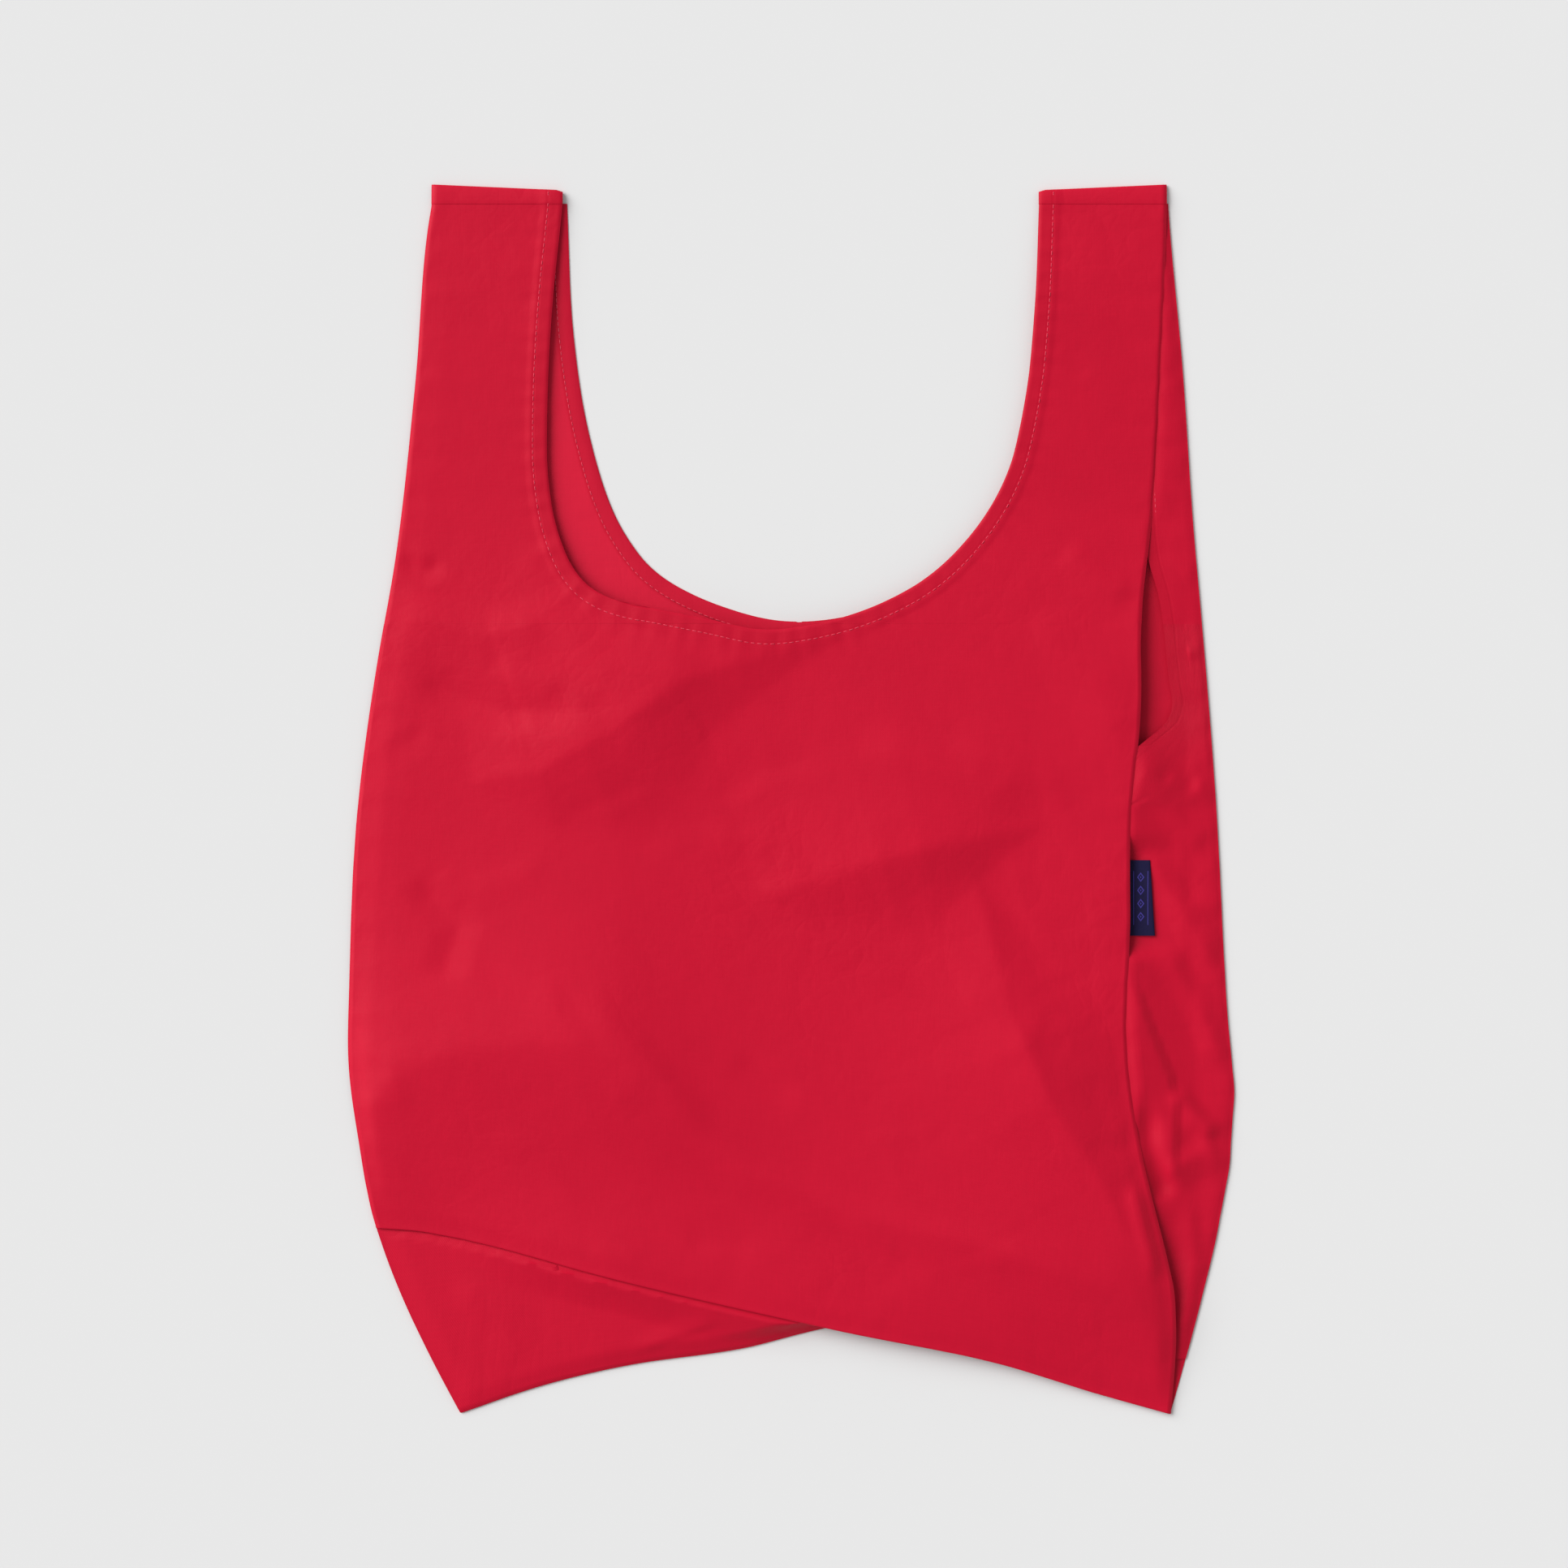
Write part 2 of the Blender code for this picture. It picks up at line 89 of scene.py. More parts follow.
# Where the bag folds, from the joints, and a length of cloth given for each fold, though no piece is bent across a
# fold.
JOINTS = {joint["name"]: joint for joint in frame["joints"]}
BOTTOM_FOLD_Y = JOINTS["bottom_fold"]["pos_m"][1]
HANDLE_FOLD_Y = JOINTS["left_handle_fold"]["pos_m"][1]
BOTTOM_BEND = 24 * MM
HANDLE_BEND = 30 * MM
BEND_LEAD = 3 * MM  # how far before its hinge line a bend starts
HANDLE_START_Y = HANDLE_FOLD_Y - 15 * MM  # where the handles' bands meet the panels
TOP_SEAM_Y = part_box("left_handle_top_seam")[0].y

# Heights above the floor, how far one layer lies under or over another, and the cloth's own thickness.
CLOTH = 0.25 * MM
LABEL_CLOTH = 0.22 * MM
BACK_Z = 0.45 * MM
REAR_TURNED_Z = BACK_Z + 0.4 * MM
GUSSET_REAR_Z = BACK_Z + 0.9 * MM
FRONT_TURNED_DROP = 0.45 * MM
GUSSET_FRONT_DROP = 0.9 * MM
STRIP_Z = 1.7 * MM
JOIN = 0.28 * MM  # two layers that meet at a seam
SEAM_EDGE_Z = 3.0 * MM
FULL_Z = 7.6 * MM
RIGHT_EDGE_Z = 8.4 * MM

# Hems, gussets and the rest.
WEAVE_MAP = "Weave"
HEM_WIDTH = 9 * MM
STITCH_INSET = 7.4 * MM
GUSSET_STITCH_INSET = 6.2 * MM
GUSSET_WIDTH = 152 * MM
GUSSET_FOOT_Y = -290 * MM
GUSSET_HEM_SCALE = 1.3  # the gusset's hem is this much narrower than the neckline's
NO_HEM = 50 * MM  # the inset kept on cloth that no hem is near

CAMERA_OVER = (-4.0 * MM, 7.35 * MM)

SIDES = ((-1, "left"), (1, "right"))
HALVES = ((True, "_front"), (False, "_rear"))


# --- Outlines, read from the frame ---


def node_edges(names):
    """Start and end of every mesh edge of these CAD nodes."""
    starts, ends = [], []
    for name in names:
        mesh = frame["nodes"][name].data
        places = np.array([vert.co for vert in mesh.vertices])
        pairs = np.array([edge.vertices for edge in mesh.edges])
        starts.append(places[pairs[:, 0]])
        ends.append(places[pairs[:, 1]])
    return np.concatenate(starts), np.concatenate(ends)


def reach(names, axis, values, pick):
    """Where these nodes begin (pick 0) or end (pick 1) across the bag, cut at each X (axis 0) or Y (axis 1)."""
    starts, ends = node_edges(names)
    kept, found = [], []
    for value in values:
        before, after = starts[:, axis] - value, ends[:, axis] - value
        crossing = (before * after <= 0) & (np.abs(before - after) > 1e-9)
        if crossing.any():
            share = before[crossing] / (before[crossing] - after[crossing])
            a, b = starts[crossing, 1 - axis], ends[crossing, 1 - axis]
            places = a + share * (b - a)
            kept.append(value)
            found.append(places.max() if pick else places.min())
    return Curve(kept, found)


class Curve:
    """A smooth curve through values given at rising places, held level beyond its ends."""

    def __init__(self, places, values):
        self.places, self.values = np.array(places, float), np.array(values, float)
        self.slopes = np.gradient(self.values, self.places)

    def __call__(self, place):
        place = np.clip(place, self.places[0], self.places[-1])
        i = np.clip(np.searchsorted(self.places, place) - 1, 0, len(self.places) - 2)
        span = self.places[i + 1] - self.places[i]
        s = (place - self.places[i]) / span
        ends = (1 + 2 * s) * (1 - s) ** 2 * self.values[i] + s * s * (3 - 2 * s) * self.values[i + 1]
        return ends + span * (s * (1 - s) ** 2 * self.slopes[i] - s * s * (1 - s) * self.slopes[i + 1])


SIDE_HEIGHTS = np.linspace(BAG_BOTTOM + 0.5 * MM, TOP_SEAM_Y - 1 * MM, 50)


def layer_sides(names, layer):
    """X of the left and the right edge of a layer of the bag, at each height."""
    return (reach((*names, name + "_handle_" + layer), 1, SIDE_HEIGHTS, int(side > 0)) for side, name in SIDES)


LEFT, RIGHT = layer_sides(("bottom_seam", "front_bottom_strip", "front_panel_lower", "front_panel"), "front")
BACK_LEFT, BACK_RIGHT = layer_sides(("bottom_seam", "back_panel_lower", "back_panel"), "rear")
SEAM_LOW, SEAM_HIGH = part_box("bottom_seam")
SEAM = reach(("bottom_seam",), 0, np.linspace(SEAM_LOW.x + 1 * MM, SEAM_HIGH.x - 1 * MM, 40), 0)
FOLD_LEFT_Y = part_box("front_bottom_strip")[1].y - 15 * MM
FOLD_ACROSS = np.linspace(float(LEFT(FOLD_LEFT_Y)) + 2 * MM, float(RIGHT(BAG_BOTTOM)) - 0.6 * MM, 40)
FOLD = reach(("front_panel_lower",), 0, FOLD_ACROSS, 0)
LABEL_LOW, LABEL_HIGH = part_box("label")


def side_seam(side, front):
    """X of a side seam at each height, on the front panel or on the back."""
    return ((LEFT, RIGHT) if front else (BACK_LEFT, BACK_RIGHT))[side > 0]


def crease_x(side, y):
    """Where a gusset turns back on itself inside the bag."""
    seams = side_seam(side, True)(y) + side_seam(side, False)(y)
    return seams / 2 - side * GUSSET_WIDTH / 2


def running(steps):
    """How far each place lies along a line, from the length of every step."""
    return np.concatenate([[0], np.cumsum(steps)])


class Route:
    """A line across the bag, read by its length, with the distance to it from anywhere."""

    def __init__(self, points):
        self.points = np.array(points, float)
        self.lengths = running(np.hypot(*np.diff(self.points, axis=0).T))
        self.x, self.y = (Curve(self.lengths, line) for line in self.points.T)

    @property
    def length(self):
        return float(self.lengths[-1])

    @property
    def lowest(self):
        """The length run to the lowest point."""
        return float(self.lengths[int(np.argmin(self.points[:, 1]))])

    def at(self, run, inset=0.0):
        """Places along the route, set in to its right by an inset."""
        ahead = 0.5 * MM
        dx, dy = self.x(run + ahead) - self.x(run - ahead), self.y(run + ahead) - self.y(run - ahead)
        size = np.maximum(np.hypot(dx, dy), 1e-12)
        return self.x(run) + inset * dy / size, self.y(run) - inset * dx / size

    def near(self, x, y):
        """Distance, positive to the left of the route's direction, and the share of its length, at each place."""
        best = np.full(np.shape(x), np.inf)
        signed, share = np.zeros(np.shape(x)), np.zeros(np.shape(x))
        for (ax, ay), (bx, by), start in zip(self.points[:-1], self.points[1:], self.lengths):
            dx, dy = bx - ax, by - ay
            size = dx * dx + dy * dy
            t = np.clip(((x - ax) * dx + (y - ay) * dy) / size, 0, 1)
            qx, qy = x - ax - t * dx, y - ay - t * dy
            distance = np.hypot(qx, qy)
            nearer = distance < best
            best = np.where(nearer, distance, best)
            signed = np.where(nearer, np.copysign(distance, dx * qy - dy * qx), signed)
            share = np.where(nearer, (start + t * math.sqrt(size)) / self.lengths[-1], share)
        return signed, share


def neckline(kind):
    """The neckline of a layer, from the left handle's top down round the mouth and up the right handle."""
    low_heights = HANDLE_FOLD_Y + np.array([1.5, 5, 10, 17, 26, 38]) * MM
    heights = np.concatenate([low_heights, np.linspace(HANDLE_FOLD_Y + 54 * MM, TOP_SEAM_Y - 1 * MM, 11)])
    left = reach(("neck_hem_" + kind + "_left",), 1, heights, 1)
    right = reach(("neck_hem_" + kind + "_right",), 1, heights, 0)
    across = np.linspace(float(left(heights[0])) + 2 * MM, float(right(heights[0])) - 2 * MM, 19)
    dip = reach(("neck_hem_" + kind,), 0, across, 1)
    points = [(float(left(y)), y) for y in heights[::-1]]
    points += [(x, float(dip(x))) for x in across if dip(x) < HANDLE_FOLD_Y - 3.9 * MM]
    points += [(float(right(y)), y) for y in heights]
    points[0] = (points[0][0], TOP_SEAM_Y)
    points[-1] = (points[-1][0], TOP_SEAM_Y)
    return Route(points)


FRONT_NECK = neckline("front")
BACK_NECK = neckline("rear")


def limb_x(neck, side):
    """X of one limb of a neckline at each height."""
    run = np.linspace(0, neck.lowest, 90) if side < 0 else np.linspace(neck.lowest, neck.length, 90)
    x, y = neck.x(run), neck.y(run)
    order = np.argsort(y)
    return lambda height: np.interp(height, y[order], x[order])


def dip_y(neck):
    """Y of the bottom of a neckline at each X."""
    span = 170 * MM
    run = np.linspace(neck.lowest - span, neck.lowest + span, 160)
    return lambda across: np.interp(across, neck.x(run), neck.y(run))


# --- Height of the cloth ---


def rise(distance, width):
    """0 at no distance, 1 past a width, and smooth between."""
    share = np.clip(distance / width, 0, 1)
    return share * share * (3 - 2 * share)


def fall(distance, width):
    """1 at no distance, 0 past a width, and smooth between."""
    return 1 - rise(distance, width)


def eased(distance, radius):
    """A distance to either side of a line, rounded off within a radius of it."""
    return np.hypot(distance, radius) - radius


def footed(share, softness):
    """A share that falls to 0 and stays there, with a soft foot."""
    return (share + np.sqrt(share * share + softness)) / 2


class Fold:
    """A soft crease: a crest along a line, falling away over one width to its left and another to its right."""

    def __init__(self, points, height, left, right, fade=0.22, power=1.15):
        self.route = Route(np.array(points, float) * MM)
        self.height, self.left, self.right, self.fade = height * MM, left * MM, right * MM, fade
        self.power = power

    def __call__(self, x, y):
        distance, share = self.route.near(x, y)
        width = np.where(distance > 0, self.left, self.right)
        away = eased(distance, 1.1 * MM) / width
        ends = rise(share, self.fade) * rise(1 - share, self.fade)
        return self.height * ends * np.clip(1 - away, 0, 1) ** self.power


class Facet:
    """A flat facet that slopes down to one side of its crest line, with a long easy slope on the other side.

    The widths of the facet are given at even steps along the crest, and side is 1 where it lies on the left.
    """

    def __init__(self, points, side, widths, slope, back=110):
        self.route = Route(np.array(points, float) * MM)
        self.side, self.widths, self.slope, self.back = side, np.array([0.1, *widths, 0.1]) * MM, slope, back * MM

    def __call__(self, x, y):
        distance, share = self.route.near(x, y)
        distance = distance * self.side
        width = np.interp(share, np.linspace(0, 1, len(self.widths)), self.widths)
        beyond = eased(distance, 1.0 * MM)
        facet = footed(1 - beyond / width, 0.02)
        easy = np.clip(1 - beyond / self.back, 0, 1) ** 2
        return self.slope * width * np.where(distance > 0, facet, easy)


class Terrace:
    """A broad slope across the bag, from a crest line down to a foot line, with an easy slope above the crest.

    Both lines are X, Y points from left to right.
    """

    def __init__(self, crest, foot, slope, back):
        self.crest, self.foot = (Curve(*(np.array(line, float).T * MM)) for line in (crest, foot))
        self.slope, self.back = slope, back * MM

    def __call__(self, x, y):
        crest, foot = self.crest(x), self.foot(x)
        tall = np.maximum(crest - foot, 0.1 * MM)
        beyond = eased(y - crest, 5.0 * MM)
        lower = footed(1 - beyond / tall, 0.006)
        upper = np.clip(1 - beyond / self.back, 0, 1) ** 2
        return self.slope * tall * np.where(y < crest, lower, upper)


# The folds, in millimetres. A crest's points run from left to right or downward.
FRONT_FOLDS = (
    Terrace([(-232, -175), (-207, -146), (-180, -133), (-150, -128), (-120, -127), (-92, -134), (-66, -154),
             (-41, -178), (-8, -200), (40, -217), (80, -226), (114, -234), (150, -248), (180, -266), (198, -296)],
            [(-232, -190), (-207, -214), (-180, -224), (-150, -231), (-98, -245), (-30, -261), (30, -275),
             (80, -285), (114, -292), (150, -304), (180, -312), (198, -317)], 0.066, 120),
    Fold([(-112, -100), (-86, -122), (-66, -146), (-41, -172)], 0.7, 10, 12),
    Fold([(-52, -172), (-19, -194), (40, -217), (114, -234), (180, -266)], 0.9, 10, 16),
    Facet([(-166, 9), (-129, 15), (-92, 36), (-59, 60), (-19, 73), (26, 84)], -1, (26, 44, 46, 34, 22, 11), 0.12),
    Facet([(-16, -51), (55, -29), (98, -19), (130, -14)], -1, (16, 28, 38, 36, 24, 11), 0.13),
    Facet([(80, 25), (110, 19), (130, 8), (142, -8)], -1, (10, 14, 9), 0.10, 40),
    Facet([(93, -40), (112, -108), (132, -155), (158, -196), (190, -262)], 1, (14, 32, 44, 40, 28, 16, 8), 0.165),
    Facet([(64, -246), (114, -236), (168, -252)], 1, (10,), 0.06, 20),
    Fold([(-198, 62), (-151, 45), (-104, 44)], -1.6, 15, 12),
    Fold([(-205, 96), (-160, 84), (-120, 92)], 1.2, 14, 16),
    Fold([(-212, 128), (-190, 117), (-178, 122)], -1.2, 7, 8),
    Fold([(-196, -40), (-172, -66), (-182, -98)], -1.2, 12, 12),
    Fold([(-140, 108), (-98, 70), (-40, 60)], 0.9, 20, 26),
    Fold([(176, -196), (184, -228), (190, -250)], 2.0, 6, 7),
    Fold([(33, 29), (90, 10), (121, -7)], 0.9, 18, 12),
    Fold([(-24, -36), (16, -70), (66, -104)], 0.8, 14, 12),
    Fold([(120, 96), (156, 60), (172, 18)], 0.8, 20, 18),
    Fold([(140, 130), (160, 112), (176, 104)], 0.8, 10, 12),
)
STRIP_FOLDS = (
    Fold([(-84, -287), (-60, -277), (-36, -268)], 0.5, 7, 3),
    Fold([(-176, -250), (-150, -268), (-140, -296)], 0.5, 16, 12),
)
GUSSET_FOLDS = (
    Fold([(196, -150), (210, -166), (220, -176)], 2.6, 6, 8),
    Fold([(192, -196), (206, -186), (222, -178)], 1.8, 8, 12),
    Fold([(176, 24), (196, -4), (214, -30)], 1.5, 12, 9),
    Fold([(178, -20), (200, -56), (222, -92)], 1.6, 10, 9),
    Fold([(190, -76), (208, -104), (224, -140)], 1.3, 8, 8),
    Fold([(204, -206), (208, -240), (203, -286)], 1.2, 6, 8),
    Fold([(192, 12), (206, 2), (216, 8)], 1.0, 5, 6),
    Fold([(200, 129), (205, 130), (209, 131)], -0.9, 3, 3),
    Fold([(203, 115), (207, 116), (211, 116)], 0.8, 3, 3),
    Fold([(205, 96), (209, 96), (213, 95)], -0.9, 3, 3),
    Fold([(204, 75), (209, 76), (214, 77)], 0.8, 4, 3),
)


FLAP_EDGE = Route(np.array([(170, -80), (177.9, -98.9), (187.5, -124.5), (195, -143), (198, -154), (198.4, -180),
                            (196, -206)]) * MM)
POCKET = Route(np.array([(182, -158), (184, -180), (190, -200)]) * MM)


def flap(x, y):
    """The fold of the right gusset that bulges from under the front, with a hollow below it."""
    off, share = FLAP_EDGE.near(x, y)
    raised = 1.4 * MM * fall(off + 0.6 * MM, 2.2 * MM) * rise(share, 0.25) * fall(share - 0.78, 0.22)
    hollow_off, hollow_share = POCKET.near(x, y)
    hollow = 3.0 * MM * fall(np.abs(hollow_off), 10 * MM) * rise(hollow_share + 0.2, 0.5)
    return raised - hollow


def scattered_folds(count, seed, low, high, sizes, heights):
    """Small creases of no set place, which nylon of this thinness keeps after it has been packed away."""
    draw = np.random.default_rng(seed)
    folds = []
    for _ in range(count):
        middle = draw.uniform(low, high)
        lean = draw.choice([-0.75, 0.45]) + draw.normal(0, 0.3)
        half = draw.uniform(*sizes) / 2
        step = half * np.array([math.cos(lean), math.sin(lean)])
        bow = draw.normal(0, 0.16) * half * np.array([-math.sin(lean), math.cos(lean)])
        points = [middle - step, middle + bow, middle + step]
        left, right = draw.uniform(5, 17, 2)
        folds.append(Fold(points, draw.uniform(*heights) * draw.choice([-1, 1]), left, right, 0.3))
    return folds


FRONT_CRINKLES = scattered_folds(60, 5, (-225, -290), (190, 300), (20, 80), (0.15, 0.5))
BACK_CRINKLES = scattered_folds(40, 11, (-200, 60), (220, 300), (16, 50), (0.12, 0.35))
GUSSET_CRINKLES = scattered_folds(34, 23, (172, -290), (226, 300), (12, 40), (0.15, 0.55))


def total(folds, x, y):
    return sum(fold(x, y) for fold in folds)


def pucker(run, wave, seed):
    """A row of small uneven gathers along a sewn edge, between -1 and 1."""
    phase = 2 * np.pi * run / wave
    return 0.6 * np.sin(phase + seed) + 0.4 * np.sin(1.73 * phase + 2 * seed) * np.cos(0.31 * phase)


def from_edge(neck, x, y):
    """Distance in from a neckline."""
    return np.abs(neck.near(x, y)[0])


def hem_relief(neck, x, y):
    """What a hem adds: turned cloth under it, small gathers along its stitching and a rolled edge."""
    inset, share = neck.near(x, y)
    inset = np.abs(inset)
    run = share * neck.length
    doubled = 0.35 * MM * fall(inset - HEM_WIDTH, 2.6 * MM)
    gathers = 0.3 * MM * pucker(run, 11 * MM, 1.0) * np.exp(-(((inset - 7 * MM) / (8 * MM)) ** 2))
    rolled = -0.5 * MM * fall(inset, 1.2 * MM)
    return doubled + gathers + rolled


def seam_relief(distance, y, seed):
    """What a side seam adds: gathers that run in from it, and an edge that turns down."""
    gathers = 0.28 * MM * pucker(y, 23 * MM, seed) * np.exp(-distance / (12 * MM))
    rolled = -1.0 * MM * fall(distance, 1.6 * MM)
    return gathers * rise(distance, 4 * MM) + rolled


def fold_edge_z(x):
    """Height of the front's bottom fold: faint at the left seam, and standing proud further across."""
    return (2.7 + 6.0 * rise(x + 195 * MM, 120 * MM) * fall(x - 60 * MM, 130 * MM)) * MM


def front_z(x, y):
    """The upper face of the front panel and its handles."""
    left, right = x - LEFT(y), RIGHT(y) - x
    low, top = y - FOLD(x), TOP_SEAM_Y - y
    on_body = fall(y - 70 * MM, 90 * MM)
    edge = SEAM_EDGE_Z + (RIGHT_EDGE_Z - SEAM_EDGE_Z) * rise(x + 60 * MM, 200 * MM) * on_body
    edge = edge + (fold_edge_z(x) - edge) * fall(low, 70 * MM)
    edge = edge + 2.0 * MM * np.clip(right / (65 * MM), 0, 1.2) * (1 - on_body) * (x > 0) * rise(top, 60 * MM)
    stepped = 0.3 * np.clip(left / (13 * MM), 0, 1) + 0.7 * rise(left, 150 * MM)
    filled = stepped * rise(right, 60 * MM) * (0.25 + 0.75 * on_body)
    filled = filled * (0.05 * rise(low, 12 * MM) + 0.95 * rise(low - 10 * MM, 110 * MM)) * rise(top, 60 * MM)
    creases = total(FRONT_FOLDS, x, y) + total(FRONT_CRINKLES, x, y)
    calm = rise(np.minimum(np.minimum(left, right), low), 10 * MM) * rise(top, 25 * MM)
    relief = hem_relief(FRONT_NECK, x, y) + seam_relief(left, y, 0.4) + seam_relief(right, y, 2.1)
    height = edge + (FULL_Z - edge) * np.clip(filled, 0, 1) + creases * calm
    return np.maximum(height, 2.2 * MM) + relief


def strip_z(x, y):
    """The front panel's lower end, under its fold."""
    left, low = x - LEFT(y), y - SEAM(x)
    open_share = rise(left, 14 * MM) * rise(low, 10 * MM)
    below = FOLD(x) - y
    propped = 5.2 * MM * np.clip(1 - eased(below, 2 * MM) / (17 * MM), 0, 1) ** 1.3
    propped = propped + 1.8 * MM * np.clip(1 - below / (75 * MM), 0, 1)
    propped = propped * rise(x + 195 * MM, 100 * MM) * fall(x - 10 * MM, 50 * MM)
    lift = 0.9 * MM + propped + total(STRIP_FOLDS, x, y)
    height = STRIP_Z - 0.8 * MM * fall(low, 1.8 * MM) + lift * open_share
    ceiling = fold_edge_z(x) - 1.4 * MM + 20 * MM * rise(FOLD(x) - y - 1 * MM, 12 * MM)
    return np.minimum(height, np.maximum(ceiling, 1.3 * MM))


def under_front(x, y, drop):
    """A layer close under the front panel, which drops to lie under its lower strip past the bottom fold."""
    share = rise(y - FOLD(x) - 15 * MM, 14 * MM)
    return share * (front_z(x, y) - drop) + (1 - share) * (strip_z(x, y) - 0.32 * MM)


def back_z(x, y):
    """The upper, inner face of the back panel."""
    return BACK_Z + np.abs(total(BACK_CRINKLES, x, y)) * 0.8 * rise(BACK_RIGHT(y) - x, 10 * MM)


def back_hem_z(x, y):
    """The upper face of the hem turned in along the back's neckline."""
    return back_z(x, y) + 0.35 * MM - 0.5 * MM * fall(from_edge(BACK_NECK, x, y), 0.8 * MM)


def gusset_rear_z(side, x, y):
    """The outer face of a gusset's rear half, with the folds that show where it is uncovered."""
    seam = side * (side_seam(side, False)(y) - x)
    lie = GUSSET_REAR_Z - (GUSSET_REAR_Z - BACK_Z - JOIN) * fall(seam, 4 * MM)
    if side < 0:
        return lie
    beside = x - RIGHT(y)
    shown = np.maximum(BACK_RIGHT(y) - RIGHT(y), 8 * MM)
    slant = 5.2 * MM * np.clip(1 - beside / (0.66 * shown), 0, 1) ** 1.15 * fall(y - 14 * MM, 50 * MM)
    slant = (slant + 1.2 * MM * np.clip(1 - beside / shown, 0, 1.3)) * rise(y + 250 * MM, 70 * MM)
    by_label = rise(y - LABEL_LOW.y + 14 * MM, 12 * MM) * fall(y - LABEL_HIGH.y - 2 * MM, 12 * MM)
    slant = slant - by_label * np.maximum(slant - 1.0 * MM, 0)
    creases = slant + total(GUSSET_FOLDS, x, y) + total(GUSSET_CRINKLES, x, y)
    gathers = 0.45 * MM * pucker(y, 19 * MM, 0.7) * np.exp(-seam / (9 * MM)) * rise(seam, 3 * MM)
    height = np.maximum(lie + creases * rise(seam, 8 * MM) + gathers + flap(x, y), lie - 0.1 * MM)
    cover = front_z(np.minimum(x, RIGHT(y) - 2.5 * MM), y) - 1.5 * MM + 0.2 * np.maximum(beside + 1.5 * MM, 0)
    return np.minimum(height, np.maximum(cover, lie))


def gusset_front_z(side, x, y):
    """The upper face of a gusset's front half, which meets the front panel at their seam."""
    seam = side * (side_seam(side, True)(y) - x)
    return under_front(x, y, JOIN + (GUSSET_FRONT_DROP - JOIN) * rise(seam, 5 * MM))


def front_turned_z(x, y):
    """Cloth turned in under the front panel."""
    return under_front(x, y, FRONT_TURNED_DROP)


def rear_turned_z(x, y):
    """Cloth turned in over the back panel."""
    return back_z(x, y) + REAR_TURNED_Z - BACK_Z


# --- Mesh making ---


def deselect():
    for chosen in list(bpy.context.selected_objects):
        chosen.select_set(False)


def spread(count, fine_start=False, fine_end=False, fine=0.004):
    """Places from 0 to 1, with two more close to an end that has a rolled edge."""
    places = list(np.linspace(0, 1, count + 1))
    if fine_start:
        places[1:1] = [fine * 0.5, fine * 1.2]
    if fine_end:
        places[-1:-1] = [1 - fine * 1.2, 1 - fine * 0.5]
    return np.array(sorted(places))


def patch(bottom, top, left, right, across, along):
    """X and Y of a grid stretched between four lines, each given as an array of points."""
    u, v = across[None, :, None], along[:, None, None]
    sides = (1 - v) * bottom[None] + v * top[None] + (1 - u) * left[:, None] + u * right[:, None]
    corners = (1 - v) * ((1 - u) * bottom[0] + u * bottom[-1]) + v * ((1 - u) * top[0] + u * top[-1])
    placed = sides - corners
    return placed[..., 0], placed[..., 1]


def stacked(*axes):
    """Places, or measures along the threads, from an array for each axis."""
    return np.stack(np.broadcast_arrays(*axes), -1)


def steps_of(grid, axis):
    """Distance from each place of a grid to the next."""
    return np.linalg.norm(np.diff(grid, axis=axis), axis=-1)


def sheet_area(grid):
    """Area of a grid of places, missing ones left out."""
    a, b = grid[1:, :-1] - grid[:-1, :-1], grid[:-1, 1:] - grid[:-1, :-1]
    return float(np.nansum(np.linalg.norm(np.cross(a, b), axis=-1)))


def keep_threads(mesh, threads):
    """Keeps every vertex's two measures along the threads as the mesh's map."""
    corners = np.empty(len(mesh.loops), np.int32)
    mesh.loops.foreach_get("vertex_index", corners)
    mesh.uv_layers.new(name=WEAVE_MAP).uv.foreach_set("vector", threads[corners].astype(np.float32).ravel())


def make_cloth(name, grid, material, thickness=CLOTH, values=None, weave=None):
    """A sheet of cloth from a grid of places, rows up the bag and columns across it.

    The weave gives each place's own two measures along the threads, in metres: X and Y unless it is given.
    """
    rows, columns = grid.shape[:2]
    deselect()
    bpy.ops.mesh.primitive_grid_add(x_subdivisions=columns - 1, y_subdivisions=rows - 1, size=1)
    cloth = bpy.context.object
    cloth.name = cloth.data.name = name
    mesh = cloth.data
    flat = grid.reshape(-1, 3)
    missing = np.isnan(flat).any(axis=1)
    mesh.vertices.foreach_set("co", np.where(missing[:, None], 0, flat).astype(np.float32).ravel())
    for layer in list(mesh.uv_layers):
        mesh.uv_layers.remove(layer)
    keep_threads(mesh, np.nan_to_num((grid[..., :2] if weave is None else weave).reshape(-1, 2)))
    for key, numbers in (values or {}).items():
        kept = mesh.attributes.new(key, "FLOAT", "POINT")
        kept.data.foreach_set("value", np.nan_to_num(numbers).astype(np.float32).ravel())
    if missing.any():
        shape = bmesh.new()
        shape.from_mesh(mesh)
        shape.verts.ensure_lookup_table()
        gone = [shape.verts[i] for i in np.flatnonzero(missing)]
        bmesh.ops.delete(shape, geom=gone, context="VERTS")
        shape.to_mesh(mesh)
        shape.free()
    solid = cloth.modifiers.new("Thickness", "SOLIDIFY")
    solid.thickness = thickness
    solid.offset = -1.0
    bpy.ops.object.modifier_apply(modifier=solid.name)
    bpy.ops.object.shade_smooth_by_angle(angle=math.radians(50))
    mesh.materials.append(material)
    return cloth


def follow(piece, body):
    """The piece moves with a body; on the bottom fold or a handle's fold it is only baked where it lies."""
    if body == "bottom_bend":
        start = BOTTOM_FOLD_Y + BEND_LEAD
        start - BOTTOM_BEND
        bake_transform(piece)
    elif body in ("left_handle", "right_handle"):
        start = HANDLE_FOLD_Y - BEND_LEAD
        start + HANDLE_BEND
        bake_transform(piece)
    else:
        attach(piece, body)
    return piece


